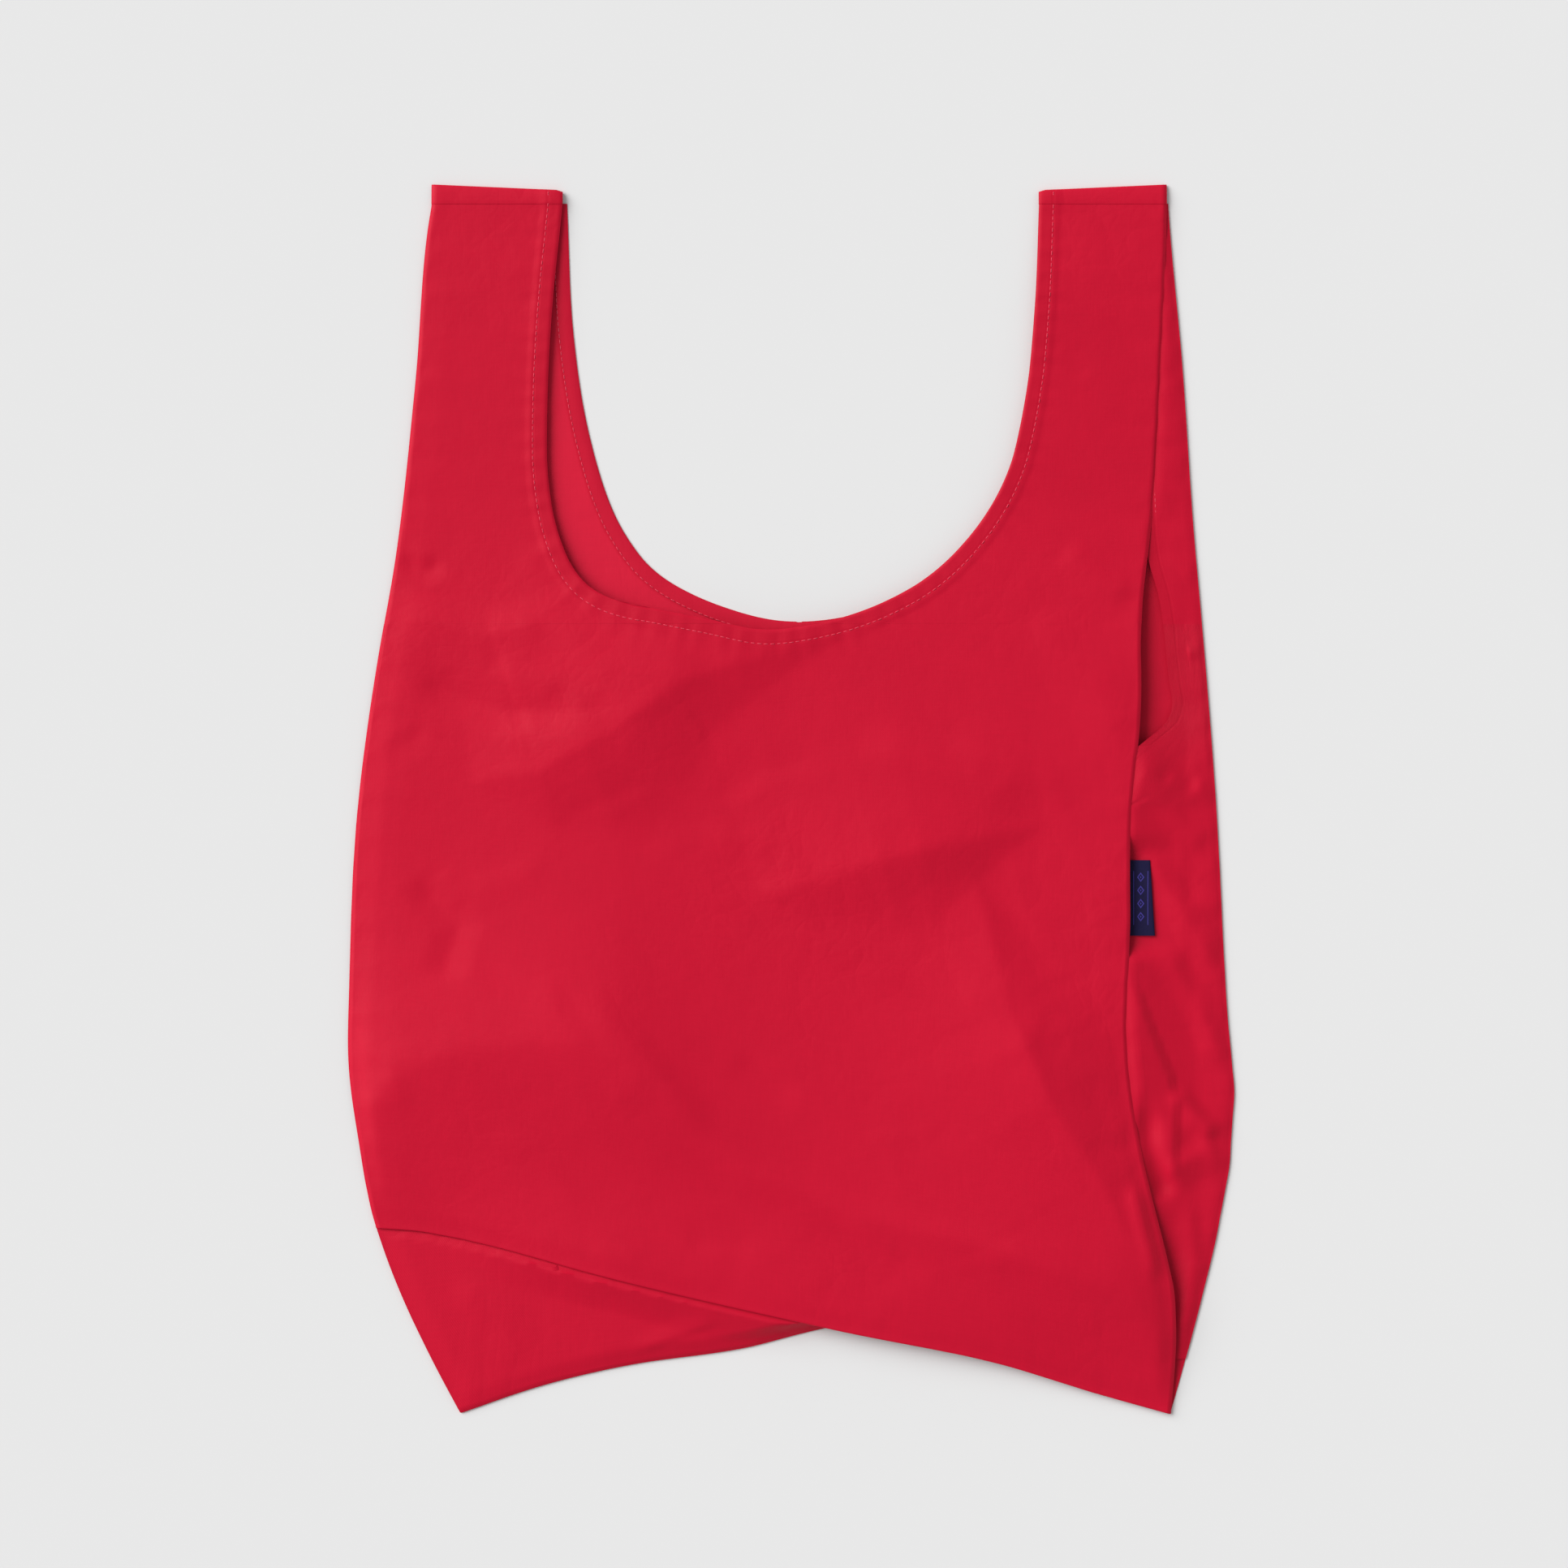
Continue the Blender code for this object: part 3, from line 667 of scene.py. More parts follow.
# --- Materials ---


class Value:
    """A number that varies over a surface. Arithmetic on it adds the Math nodes."""

    def __init__(self, board, socket):
        self.board, self.socket = board, socket

    def step(self, operation, *others, **settings):
        inputs = dict(enumerate((self, *others)))
        return self.board.add("ShaderNodeMath", {"operation": operation, **settings}, inputs)[0]

    def __add__(self, other):
        return self.step("ADD", other)

    def __sub__(self, other):
        return self.step("SUBTRACT", other)

    def __rsub__(self, other):
        return self.board.add("ShaderNodeMath", {"operation": "SUBTRACT"}, {0: other, 1: self})[0]

    def __mul__(self, other):
        return self.step("MULTIPLY", other)

    def __truediv__(self, other):
        return self.step("DIVIDE", other)

    def __neg__(self):
        return self * -1.0

    def __abs__(self):
        return self.step("ABSOLUTE")

    __radd__, __rmul__ = __add__, __mul__

    def clamped(self):
        return self.step("ADD", 0.0, use_clamp=True)

    def band(self, middle, width):
        """1 at a middle value, falling smoothly to 0 over a width to each side."""
        off = (self - middle) / width
        return (1 - off * off).clamped()

    def above(self, low, high):
        """0 below a low value, 1 above a high one."""
        return ((self - low) / (high - low)).clamped()


class Board:
    """The nodes of one material."""

    def __init__(self, name):
        self.material = bpy.data.materials.new(name)
        self.material.use_nodes = True
        self.tree = self.material.node_tree
        self.tree.nodes.clear()

    def add(self, kind, settings=None, sockets=None):
        """A node of a type, given its settings, then the values or links of its sockets; its outputs."""
        node = self.tree.nodes.new(kind)
        for key, setting in (settings or {}).items():
            setattr(node, key, setting)
        for key, value in (sockets or {}).items():
            if isinstance(value, Value):
                self.tree.links.new(value.socket, node.inputs[key])
            else:
                node.inputs[key].default_value = value
        return [Value(self, socket) for socket in node.outputs]

    def threads(self):
        """The two measures along the cloth's threads, in metres, and both as a vector."""
        place = self.add("ShaderNodeUVMap", {"uv_map": WEAVE_MAP})[0]
        along, across, _ = self.add("ShaderNodeSeparateXYZ", None, {0: place})
        return along, across, place

    def stretched(self, place, x, y, z=1.0):
        return self.add("ShaderNodeVectorMath", {"operation": "MULTIPLY"}, {0: place, 1: (x, y, z)})[0]

    def noise(self, place, scale, detail=2.0, roughness=0.5, distortion=0.0):
        sockets = {"Vector": place, "Scale": scale, "Detail": detail, "Roughness": roughness,
                   "Distortion": distortion}
        return self.add("ShaderNodeTexNoise", None, sockets)[0]

    def measure(self, key):
        """A number kept on the mesh."""
        return self.add("ShaderNodeAttribute", {"attribute_name": key}, None)[2]

    def blend_colours(self, share, first, second):
        sockets = {0: share, 6: as_colour(first), 7: as_colour(second)}
        return self.add("ShaderNodeMix", {"data_type": "RGBA"}, sockets)[2]

    def shade(self, colour, amount):
        """A colour made lighter or darker by a share of itself."""
        factor = self.add("ShaderNodeCombineXYZ", None, {0: amount, 1: amount, 2: amount})[0]
        return self.add("ShaderNodeVectorMath", {"operation": "MULTIPLY"}, {0: colour, 1: factor})[0]

    def bump(self, height, distance, strength=1.0, normal=None):
        sockets = {"Height": height, "Distance": distance, "Strength": strength}
        if normal is not None:
            sockets["Normal"] = normal
        return self.add("ShaderNodeBump", None, sockets)[0]

    def finish(self, sockets):
        shader = self.add("ShaderNodeBsdfPrincipled", None, sockets)[0]
        self.add("ShaderNodeOutputMaterial", None, {"Surface": shader})
        return self.material


def as_colour(colour):
    return colour if isinstance(colour, Value) else (*colour, 1.0)


def waves(measure, pitch):
    """A wave along a measure, from one thread to the next."""
    return (measure * (2 * math.pi / pitch)).step("SINE")


def nylon(name, settings, folded=False):
    """Thin woven nylon: fine pillows, slubs in both directions, soft creases, a darker doubled hem, and painted
    light that lightens the cloth where the mesh marks it.
    """
    board = Board(name)
    along, across, place = board.threads()
    pillows = waves(along, settings.weave_pitch) * waves(across, settings.weave_pitch)
    long, fine = 70, 1500
    slubs = (board.noise(board.stretched(place, fine, long), 1.0, 2.0)
             + board.noise(board.stretched(place, long, fine), 1.0, 2.0))
    cloudy = board.noise(place, 22.0, 3.0, 0.55)
    wandering = board.add("ShaderNodeVectorMath", {"operation": "MULTIPLY_ADD"}, {
        0: board.add("ShaderNodeTexNoise", None, {"Vector": place, "Scale": 30.0, "Detail": 2.0})[1],
        1: (0.012, 0.012, 0.0), 2: place})[0]
    crackle, fine_crackle = (
        board.add("ShaderNodeTexVoronoi", {"feature": "DISTANCE_TO_EDGE"}, {"Vector": wandering, "Scale": scale})[0]
        for scale in (46.0, 118.0))
    crease = 1 - crackle.above(0.0, 0.05)
    rough_patch = board.noise(place, 8.0, 2.0).above(0.42, 0.66)
    inset = board.measure("inset")
    doubled = (1 - inset.above(0.0078, 0.0094)) * inset.above(-0.5, -0.4)
    row = inset.band(STITCH_INSET, 1.1 * MM) * inset.above(-0.5, -0.4)
    thin = board.measure("thin")

    base = settings.folded_red if folded else settings.red
    # Painted light: the red is lightened towards a brighter red where the mesh marks it, standing for light let
    # through the cloth.
    colour = board.blend_colours(thin, base, settings.painted_glow_red)
    colour = board.blend_colours((doubled * 0.6).clamped(), colour, settings.folded_red)
    tone = 1 + (cloudy - 0.5) * 0.08 + (slubs - 1.0) * 0.08 + pillows * 0.03 + row * 0.02
    tone = tone + crease * rough_patch * 0.012
    colour = board.shade(colour, tone)

    wrinkles = board.noise(place, 60.0, 3.0, 0.55) * 0.5 + crackle.above(0.0, 0.25) * rough_patch * 0.22
    wrinkles = wrinkles + fine_crackle.above(0.0, 0.2) * rough_patch * 0.08 - row * 0.12
    soft = board.bump(wrinkles, 0.00055)
    normal = board.bump(pillows * 0.5 + slubs * 0.5, 0.00006, 0.8, soft)
    roughness = (0.5 + (cloudy - 0.5) * 0.16 - pillows * 0.04 + crease * 0.05).clamped()
    return board.finish({
        "Base Color": colour, "Roughness": roughness, "Normal": normal, "Metallic": 0.0,
        "Specular IOR Level": settings.gloss, "Sheen Weight": 0.03, "Sheen Roughness": 0.4,
        "Sheen Tint": (1.0, 0.35, 0.4, 1.0),
    })


def thread_material(settings):
    """Sewing thread: two plies that wind round each other."""
    board = Board("bag_thread")
    along, across = board.threads()[:2]
    plies = ((along * (2 * math.pi / 0.0011)) + across * (2 * math.pi / 0.0009)).step("SINE")
    fuzz = board.noise(board.add("ShaderNodeTexCoord")[3], 2400.0, 2.0)
    # Painted light and shade: lit and shaded thread colours mixed by noise, lighter on the plies' crowns and darker
    # between them.
    colour = board.shade(board.blend_colours(fuzz.above(0.3, 0.7), settings.thread_dark, settings.thread_light),
                         1 + plies * 0.12)
    return board.finish({
        "Base Color": colour, "Roughness": (0.5 + (fuzz - 0.5) * 0.3).clamped(),
        "Normal": board.bump(plies * 0.6 + fuzz * 0.4, 0.00005), "Specular IOR Level": 0.25,
    })


def label_material(settings):
    """A dense satin-woven label: dark ground, with a generic row of woven diamonds and dashes."""
    board = Board("bag_label")
    along, across, place = board.threads()
    threads, picks = waves(across, 0.22 * MM), waves(along, 0.34 * MM)
    unit = across / settings.motif_pitch
    phase = abs(unit - unit.step("ROUND"))
    middle = abs(along - settings.motif_middle) / settings.motif_pitch
    diamond = abs(phase * 1.0 + middle * 1.35 - 0.30).band(0.0, 0.085)
    dot = (1 - (phase + middle * 1.35).above(0.06, 0.10))
    rail = abs(middle - 0.54).band(0.0, 0.035)
    motif = (diamond + dot + rail).clamped()
    within = 1 - abs(across - settings.motif_centre).above(settings.motif_reach, settings.motif_reach + 0.0003)
    motif = motif * within
    fuzz = board.noise(place, 2600.0, 2.0)
    shown = (motif * (0.7 + threads * 0.2 + fuzz * 0.3)).clamped()
    colour = board.blend_colours(shown, settings.ground, settings.motif)
    colour = board.shade(colour, 1 + threads * 0.16 + picks * 0.1 + (fuzz - 0.5) * 0.4)
    return board.finish({
        "Base Color": colour, "Roughness": (0.62 - motif * 0.12 + (fuzz - 0.5) * 0.2).clamped(),
        "Normal": board.bump(threads * 0.4 + picks * 0.3 + motif * 1.4 + fuzz * 0.3, 0.00008),
        "Specular IOR Level": 0.2,
    })


def floor_material(settings):
    """A pale matt sweep with the faintest grain."""
    board = Board("floor_matt")
    place = board.add("ShaderNodeTexCoord")[3]
    grain = board.noise(place, 40.0, 2.0)
    colour = board.shade(board.blend_colours(0.0, settings.floor, settings.floor), 1 + (grain - 0.5) * 0.004)
    return board.finish({"Base Color": colour, "Roughness": 0.9, "Specular IOR Level": 0.0})


# --- Sizes and colours ---


def length_property(name, description, default):
    return FloatProperty(name=name, description=description, default=default, unit="LENGTH", precision=5)


def angle_property(name, description, degrees):
    return FloatProperty(name=name, description=description, default=math.radians(degrees), subtype="ANGLE")


def strength_property(name, description, default):
    return FloatProperty(name=name, description=description, default=default, min=0.0)


def colour_property(name, description, default):
    return FloatVectorProperty(name=name, description=description, default=default, subtype="COLOR",
                               size=3, min=0.0, max=1.0)


class BagClothSettings(bpy.types.PropertyGroup):
    red: colour_property("Red", "Cloth over several layers", (0.585, 0.003, 0.028))
    # Painted light: a brighter red that stands for light let through the cloth.
    painted_glow_red: colour_property("Thin red", "Cloth of one layer, which lets light through", (0.68, 0.009, 0.040))
    folded_red: colour_property("Folded red", "Doubled cloth of a hem", (0.535, 0.0025, 0.0245))
    weave_pitch: length_property("Weave pitch", "Distance between two like threads", 0.0007)
    gloss: FloatProperty(name="Gloss", description="Specular level of the cloth", default=0.14, min=0.0, max=1.0)


class BagThreadSettings(bpy.types.PropertyGroup):
    thread_light: colour_property("Light thread", "Lit plies", (0.84, 0.09, 0.15))
    thread_dark: colour_property("Dark thread", "Plies in shade", (0.68, 0.035, 0.075))
    pitch: length_property("Stitch pitch", "From one stitch to the next", 0.0030)
    length: length_property("Stitch length", "Length of the thread that shows", 0.0023)
    width: length_property("Stitch width", "Width of the thread", 0.00042)


class BagLabelSettings(bpy.types.PropertyGroup):
    ground: colour_property("Ground", "Woven ground of the label", (0.0105, 0.0075, 0.052))
    motif: colour_property("Motif", "Woven motif", (0.085, 0.066, 0.43))
    motif_pitch: length_property("Motif pitch", "From one diamond to the next", 0.0068)
    motif_middle: length_property("Motif middle", "X of the row of diamonds", 0.1803)
    motif_centre: length_property("Motif centre", "Y of the middle of the row", -0.0515)
    motif_reach: length_property("Motif reach", "Half the length of the row", 0.0138)


class BagStageSettings(bpy.types.PropertyGroup):
    floor: colour_property("Floor", "Pale floor", (0.80, 0.80, 0.80))
    sky: strength_property("Sky", "Strength of the light from all round", 0.41)
    key: strength_property("Key", "Strength of the key light", 3.38)
    key_rise: angle_property("Key rise", "Angle of the key light above the floor", 34)
    key_turn: angle_property("Key turn", "Direction that the key light comes from", 150)
    key_spread: angle_property("Key spread", "Angular size of the key light", 50)
    camera_height: length_property("Camera height", "Height of the camera over the floor", 2.2)
    view_width: length_property("View width", "Width of floor that the camera takes in", 0.8114)


SETTINGS = {
    "bag_cloth": BagClothSettings, "bag_thread": BagThreadSettings,
    "bag_label": BagLabelSettings, "bag_stage": BagStageSettings,
}


def cloth_material(folded=False):
    name = "bag_nylon_folded" if folded else "bag_nylon"
    return bpy.data.materials.get(name) or nylon(name, bpy.context.scene.bag_cloth, folded)


def stitch_material():
    return bpy.data.materials.get("bag_thread") or thread_material(bpy.context.scene.bag_thread)


# --- Sheets ---


def flat_size(grid):
    """The width and length of a sheet laid out flat, from its longest row and its longest column."""
    return tuple(float(np.nansum(steps_of(grid, axis), axis=axis).max()) for axis in (1, 0))


def declare_cloth(grid, creased=True):
    """Measures a sheet by its outline as cut, which leaves out what its creases take up, and keeps nothing of the
    result.
    """
    if creased:
        grid = grid * [1, 1, 0]
    width, length = flat_size(grid)
    min(sheet_area(grid), width * length)


def front_painted_glow(x, y):
    """Painted light: how much the front panel is lightened, in a strip along its left seam."""
    left = x - LEFT(y)
    strip = fall(left - 19 * MM, 6 * MM)
    return strip * rise(y + 200 * MM, 120 * MM) * fall(y - 30 * MM, 100 * MM) * 0.2


def back_painted_glow(x):
    """Painted light let through where the back panel shows alone, inside the mouth, more than at the right gusset's
    opening.
    """
    return 1 - 0.85 * rise(x - 60 * MM, 70 * MM)


def cloth_values(inset, thin=0.0):
    """What a sheet keeps for its cloth: how far each place lies in from a hem, and how much painted light lightens
    it, standing for light let through the cloth.
    """
    inset, thin = np.broadcast_arrays(np.minimum(inset, NO_HEM), thin)
    return {"inset": inset, "thin": thin}


def neck_values(neck, grid, thin):
    return cloth_values(from_edge(neck, grid[..., 0], grid[..., 1]), thin)


def even_values(grid, thin=0.0):
    return cloth_values(np.full(grid.shape[:2], NO_HEM), thin)


def joined(values):
    """Like-named numbers of several blocks of rows, one above the other."""
    return {key: np.concatenate([block[key] for block in values]) for key in values[0]}


def front_panel_grid():
    """The front from the handles down, over its bottom fold, back up under it, and down to the seam."""
    across, along = spread(168, True, True), spread(132, True, True, 0.005)
    low_left = float(FOLD(LEFT(FOLD_LEFT_Y)))
    low_right = float(FOLD(RIGHT(BAG_BOTTOM)))
    bottom_x = LEFT(low_left) + across * (RIGHT(low_right) - LEFT(low_left))
    top_x = LEFT(HANDLE_START_Y) + across * (RIGHT(HANDLE_START_Y) - LEFT(HANDLE_START_Y))
    left_y = low_left + along * (HANDLE_START_Y - low_left)
    right_y = low_right + along * (HANDLE_START_Y - low_right)
    dip = np.minimum(dip_y(FRONT_NECK)(top_x), HANDLE_START_Y)
    x, y = patch(stacked(bottom_x, FOLD(bottom_x)), stacked(top_x, dip), stacked(LEFT(left_y), left_y),
                 stacked(RIGHT(right_y), right_y), across, along)
    upper = stacked(x, y, front_z(x, y))[::-1]
    blocks = [upper]
    values = [neck_values(FRONT_NECK, upper, front_painted_glow(upper[..., 0], upper[..., 1]))]

    def slid(row, y):
        """X of a row's places once they have slid to new heights between the side seams."""
        left, right = LEFT(y) - LEFT(row[:, 1]), RIGHT(y) - RIGHT(row[:, 1])
        return row[:, 0] + (1 - across) * left + across * right

    edge = upper[-1]
    turned = (0.2 + 0.22 * rise(edge[:, 0] - edge[0, 0], 60 * MM)) * MM
    for angle in (50, 100, 150):
        swing = math.radians(angle)
        blocks.append((edge + stacked(0, -turned * math.sin(swing), turned * (math.cos(swing) - 1)))[None])
    depth = 1.0 * MM + 13.0 * MM * rise(edge[:, 0] - edge[0, 0], 70 * MM)
    under = []
    for share in np.linspace(0.04, 1, 6):
        row_y = edge[:, 1] + share * depth
        row_x = slid(edge, row_y)
        under.append(stacked(row_x, row_y, front_z(row_x, row_y) - 2 * turned))
    blocks.append(np.stack(under))
    last = under[-1]

    end_x = last[:, 0].copy()
    for _ in range(4):
        end_y = SEAM(end_x)
        end_x = slid(last, end_y)
    strip = []
    for share in 1 - spread(34, True, False, 0.02)[::-1]:
        row_y = last[:, 1] + share * (end_y - last[:, 1])
        row_x = slid(last, row_y)
        strip.append(stacked(row_x, row_y, strip_z(row_x, row_y)))
    strip = np.stack(strip)
    turn_y = last[:, 1] + 0.5 * MM
    middle = stacked(last[:, 0], turn_y, (last[:, 2] + strip[0, :, 2]) / 2)[None]
    blocks += [middle, strip]
    values += [even_values(block) for block in blocks[1:]]
    grid = np.concatenate(blocks)
    return grid[::-1], {key: numbers[::-1] for key, numbers in joined(values).items()}


def back_panel_grid():
    """The back from the bottom seam up to the handles."""
    across, along = spread(128, True, True), spread(130, True, True)
    low_left, low_right = SEAM_LOW.x + 0.6 * MM, SEAM_HIGH.x - 0.6 * MM
    bottom_x = low_left + across * (low_right - low_left)
    top_x = BACK_LEFT(HANDLE_START_Y) + across * (BACK_RIGHT(HANDLE_START_Y) - BACK_LEFT(HANDLE_START_Y))
    left_y = SEAM(low_left) + along * (HANDLE_START_Y - SEAM(low_left))
    right_y = SEAM(low_right) + along * (HANDLE_START_Y - SEAM(low_right))
    x, y = patch(stacked(bottom_x, SEAM(bottom_x)), stacked(top_x, HANDLE_START_Y + 0 * top_x),
                 stacked(BACK_LEFT(left_y), left_y), stacked(BACK_RIGHT(right_y), right_y), across, along)
    grid = stacked(x, y, back_z(x, y))
    return grid, neck_values(BACK_NECK, grid, back_painted_glow(x))


def limb_grid(side, neck, height, columns, rows):
    """A handle's band, from where the neckline passes its lowest point up to the seam across its top."""
    middle = neck.x(neck.lowest)
    runs = np.linspace(0, neck.length, 1600)
    if side > 0:
        runs = runs[::-1]
    line_x, line_y = neck.x(runs), neck.y(runs)
    kept = (side * (line_x - middle) >= 0) & (line_y >= HANDLE_START_Y)
    line_x, line_y = line_x[kept][::-1], line_y[kept][::-1]
    if line_y[0] > HANDLE_START_Y + 0.2 * MM:
        line_x, line_y = np.append(line_x[0], line_x), np.append(HANDLE_START_Y, line_y)
    lengths = running(np.hypot(np.diff(line_x), np.diff(line_y)))
    along = spread(rows, True, True, 0.0016)
    inner = stacked(*(np.interp(along * lengths[-1], lengths, line) for line in (line_x, line_y)))
    outer_y = HANDLE_START_Y + along * (TOP_SEAM_Y - HANDLE_START_Y)
    outer = stacked(side_seam(side, neck is FRONT_NECK)(outer_y), outer_y)
    across = spread(columns, True, True, 0.008)
    first, last = (outer, inner) if side < 0 else (inner, outer)
    ends = [first[k] + across[:, None] * (last[k] - first[k]) for k in (0, -1)]
    x, y = patch(ends[0], ends[1], first, last, across, along)
    return stacked(x, y, height(x, y))


# The gussets' openings: where they begin, and how far in from the seam their edge lies at each height.
OPENING_LOW = -2 * MM
OPENING_INSETS = Curve(np.array([-2, 10, 22, 31, 38, 46, 60, 75, 90, 106, 121, 160, 230, 308]) * MM,
                       np.array([84, 60, 45, 33, 24, 19.5, 19.6, 20, 20.2, 21.5, 24.5, 25, 23, 21]) * MM)


def gusset_grid(side):
    """A gusset: its rear half, the crease inside the bag and its front half, split above by its opening."""
    y = GUSSET_FOOT_Y + spread(146, False, True) * (HANDLE_START_Y - GUSSET_FOOT_Y)
    closed = y < OPENING_LOW
    halves, insets = [], []
    for front, height, count in ((False, gusset_rear_z, 40), (True, gusset_front_z, 26)):
        edge = side_seam(side, front)(y)
        width = side * (edge - crease_x(side, y))
        width = np.where(closed, width, np.minimum(width, OPENING_INSETS(y)))
        across = spread(count, True, False, 0.02)
        x = edge[:, None] - side * width[:, None] * across[None]
        halves.append(stacked(x, y[:, None], height(side, x, y[:, None])))
        hemmed = y[:, None] > 26 * MM
        insets.append(np.where(hemmed, np.maximum(width[:, None] * (1 - across[None]), 0), NO_HEM))
    rear, front = halves
    middle = (rear[:, -1] + front[:, -1]) / 2
    middle[:, 0] -= side * np.abs(front[:, -1, 2] - rear[:, -1, 2]) / 2
    middle[~closed] = np.nan
    grid = np.concatenate([rear, middle[:, None], front[:, ::-1]], axis=1)
    x = grid[..., 0]
    inset = np.concatenate([insets[0], np.full((len(y), 1), NO_HEM), insets[1][:, ::-1]], axis=1)
    depth = running(np.nanmean(np.abs(np.diff(x, axis=1)), axis=0))
    return grid, cloth_values(inset * GUSSET_HEM_SCALE), stacked(np.broadcast_to(depth, x.shape), y[:, None])


def below(height, x, y):
    """Cloth turned in close under another layer."""
    return height(x, y) - 0.3 * MM


def gusset_band_grid(side, front):
    """The band of a gusset beside its opening, up one half of a handle."""
    seam_x = side_seam(side, front)
    height = gusset_front_z if front else gusset_rear_z
    y = HANDLE_START_Y + spread(84, True, True, 0.0016) * (TOP_SEAM_Y - HANDLE_START_Y)
    across = spread(9, True, True, 0.04)
    x = seam_x(y)[:, None] - side * OPENING_INSETS(y)[:, None] * across[None]
    grid = stacked(x, y[:, None], height(side, x, y[:, None]))
    inset = OPENING_INSETS(y)[:, None] - side * (seam_x(y)[:, None] - x)
    return grid, cloth_values(np.maximum(inset * GUSSET_HEM_SCALE, 0))


def opening_route(side, front):
    """The hemmed edge of a gusset's opening, from the crease up to the handle's top."""
    seam_x = side_seam(side, front)
    heights = np.concatenate([np.linspace(-2, 46, 13), np.linspace(56, 306, 24)]) * MM
    pairs = [(float(seam_x(y) - side * OPENING_INSETS(y)), float(y)) for y in heights]
    return Route(pairs if side > 0 else pairs[::-1])


def cut_route(route, low, high):
    """The run of a route whose Y lies between two heights."""
    runs = np.linspace(0, route.length, 2400)
    y = route.y(runs)
    kept = runs[(y >= low) & (y <= high)]
    return float(kept.min()), float(kept.max())


def hem_grid(route, first, last, insets, height):
    """A strip of cloth beside a route, with a column of places at each inset in millimetres."""
    runs = np.linspace(first, last, max(int((last - first) / (3.2 * MM)), 3))
    x, y = route.at(runs[:, None], np.array(insets)[None] * MM)
    return stacked(x, y, height(x, y))


# --- Stitches ---


def one_stitch():
    """One stitch along X, a unit long and a unit wide: a bar that dives at both ends."""
    deselect()
    bpy.ops.mesh.primitive_cylinder_add(vertices=6, radius=0.5, depth=1.0, rotation=(0, math.pi / 2, 0))
    stitch = bpy.context.object
    bpy.ops.object.transform_apply(rotation=True)
    bpy.ops.object.mode_set(mode="EDIT")
    bpy.ops.mesh.select_all(action="SELECT")
    bpy.ops.mesh.bisect(plane_co=(0.28, 0, 0), plane_no=(1, 0, 0))
    bpy.ops.mesh.select_all(action="SELECT")
    bpy.ops.mesh.bisect(plane_co=(-0.28, 0, 0), plane_no=(1, 0, 0))
    bpy.ops.object.mode_set(mode="OBJECT")
    places = np.array([vert.co for vert in stitch.data.vertices])
    faces = [list(face.vertices) for face in stitch.data.polygons]
    ends = np.abs(places[:, 0]) > 0.4
    places[ends, 1] *= 0.6
    places[ends, 2] = places[ends, 2] * 0.5 - 0.42
    mesh = stitch.data
    bpy.data.objects.remove(stitch)
    bpy.data.meshes.remove(mesh)
    return places, faces


def make_stitches(name, body, route, first, last, inset, height):
    """A row of stitches beside a route, each lying on the cloth, which moves with its body, save a row on a handle,
    which is only baked where it lies.
    """
    settings = bpy.context.scene.bag_thread
    count = max(int((last - first) / settings.pitch), 1)
    runs = first + (np.arange(count) + 0.5) * (last - first) / count
    x, y = route.at(runs, inset)
    ax, ay = route.at(runs - settings.length / 2, inset)
    bx, by = route.at(runs + settings.length / 2, inset)
    lean = np.stack([bx - ax, by - ay, height(bx, by) - height(ax, ay)], -1)
    lean /= np.linalg.norm(lean, axis=1)[:, None]
    places, faces = one_stitch()
    sideways = np.cross([0, 0, 1.0], lean)
    sideways /= np.linalg.norm(sideways, axis=1)[:, None]
    upward = np.cross(lean, sideways)
    middle = np.stack([x, y, height(x, y) + settings.width * 0.18], -1)
    size = places * [settings.length, settings.width, settings.width * 0.8]
    all_places = (middle[:, None] + size[None, :, :1] * lean[:, None] + size[None, :, 1:2] * sideways[:, None]
                  + size[None, :, 2:] * upward[:, None]).reshape(-1, 3)
    all_faces = [[v + k * len(places) for v in face] for k in range(count) for face in faces]
    mesh = bpy.data.meshes.new(name)
    mesh.from_pydata(all_places.tolist(), [], all_faces)
    along = np.tile(places[:, 0], count) * settings.length + np.repeat(runs, len(places))
    aside = np.tile(places[:, 1], count) * settings.width
    keep_threads(mesh, stacked(along, aside))
    mesh.polygons.foreach_set("use_smooth", [True] * len(mesh.polygons))
    row = bpy.data.objects.new(name, mesh)
    bpy.context.scene.collection.objects.link(row)
    mesh.materials.append(stitch_material())
    return follow(row, body)


# --- Operators ---


def lay_cloth(name, grid, body, nodes, values, weave=None):
    """A sheet of nylon that stands for CAD nodes and moves with a body, save on the bottom fold or a handle, where
    it is only baked where it lies.
    """
    piece = follow(make_cloth(name, grid, cloth_material(), values=values, weave=weave), body)
    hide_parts(*nodes)
    return piece


def add_hem(name, grid, body, *nodes, thin=0.0):
    """A turned strip of cloth, which stands for the CAD nodes if any are named."""
    hem = make_cloth(name, grid, cloth_material(True), CLOTH * 0.8, even_values(grid, thin))
    follow(hem, body)
    if nodes:
        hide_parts(*nodes)
    return hem


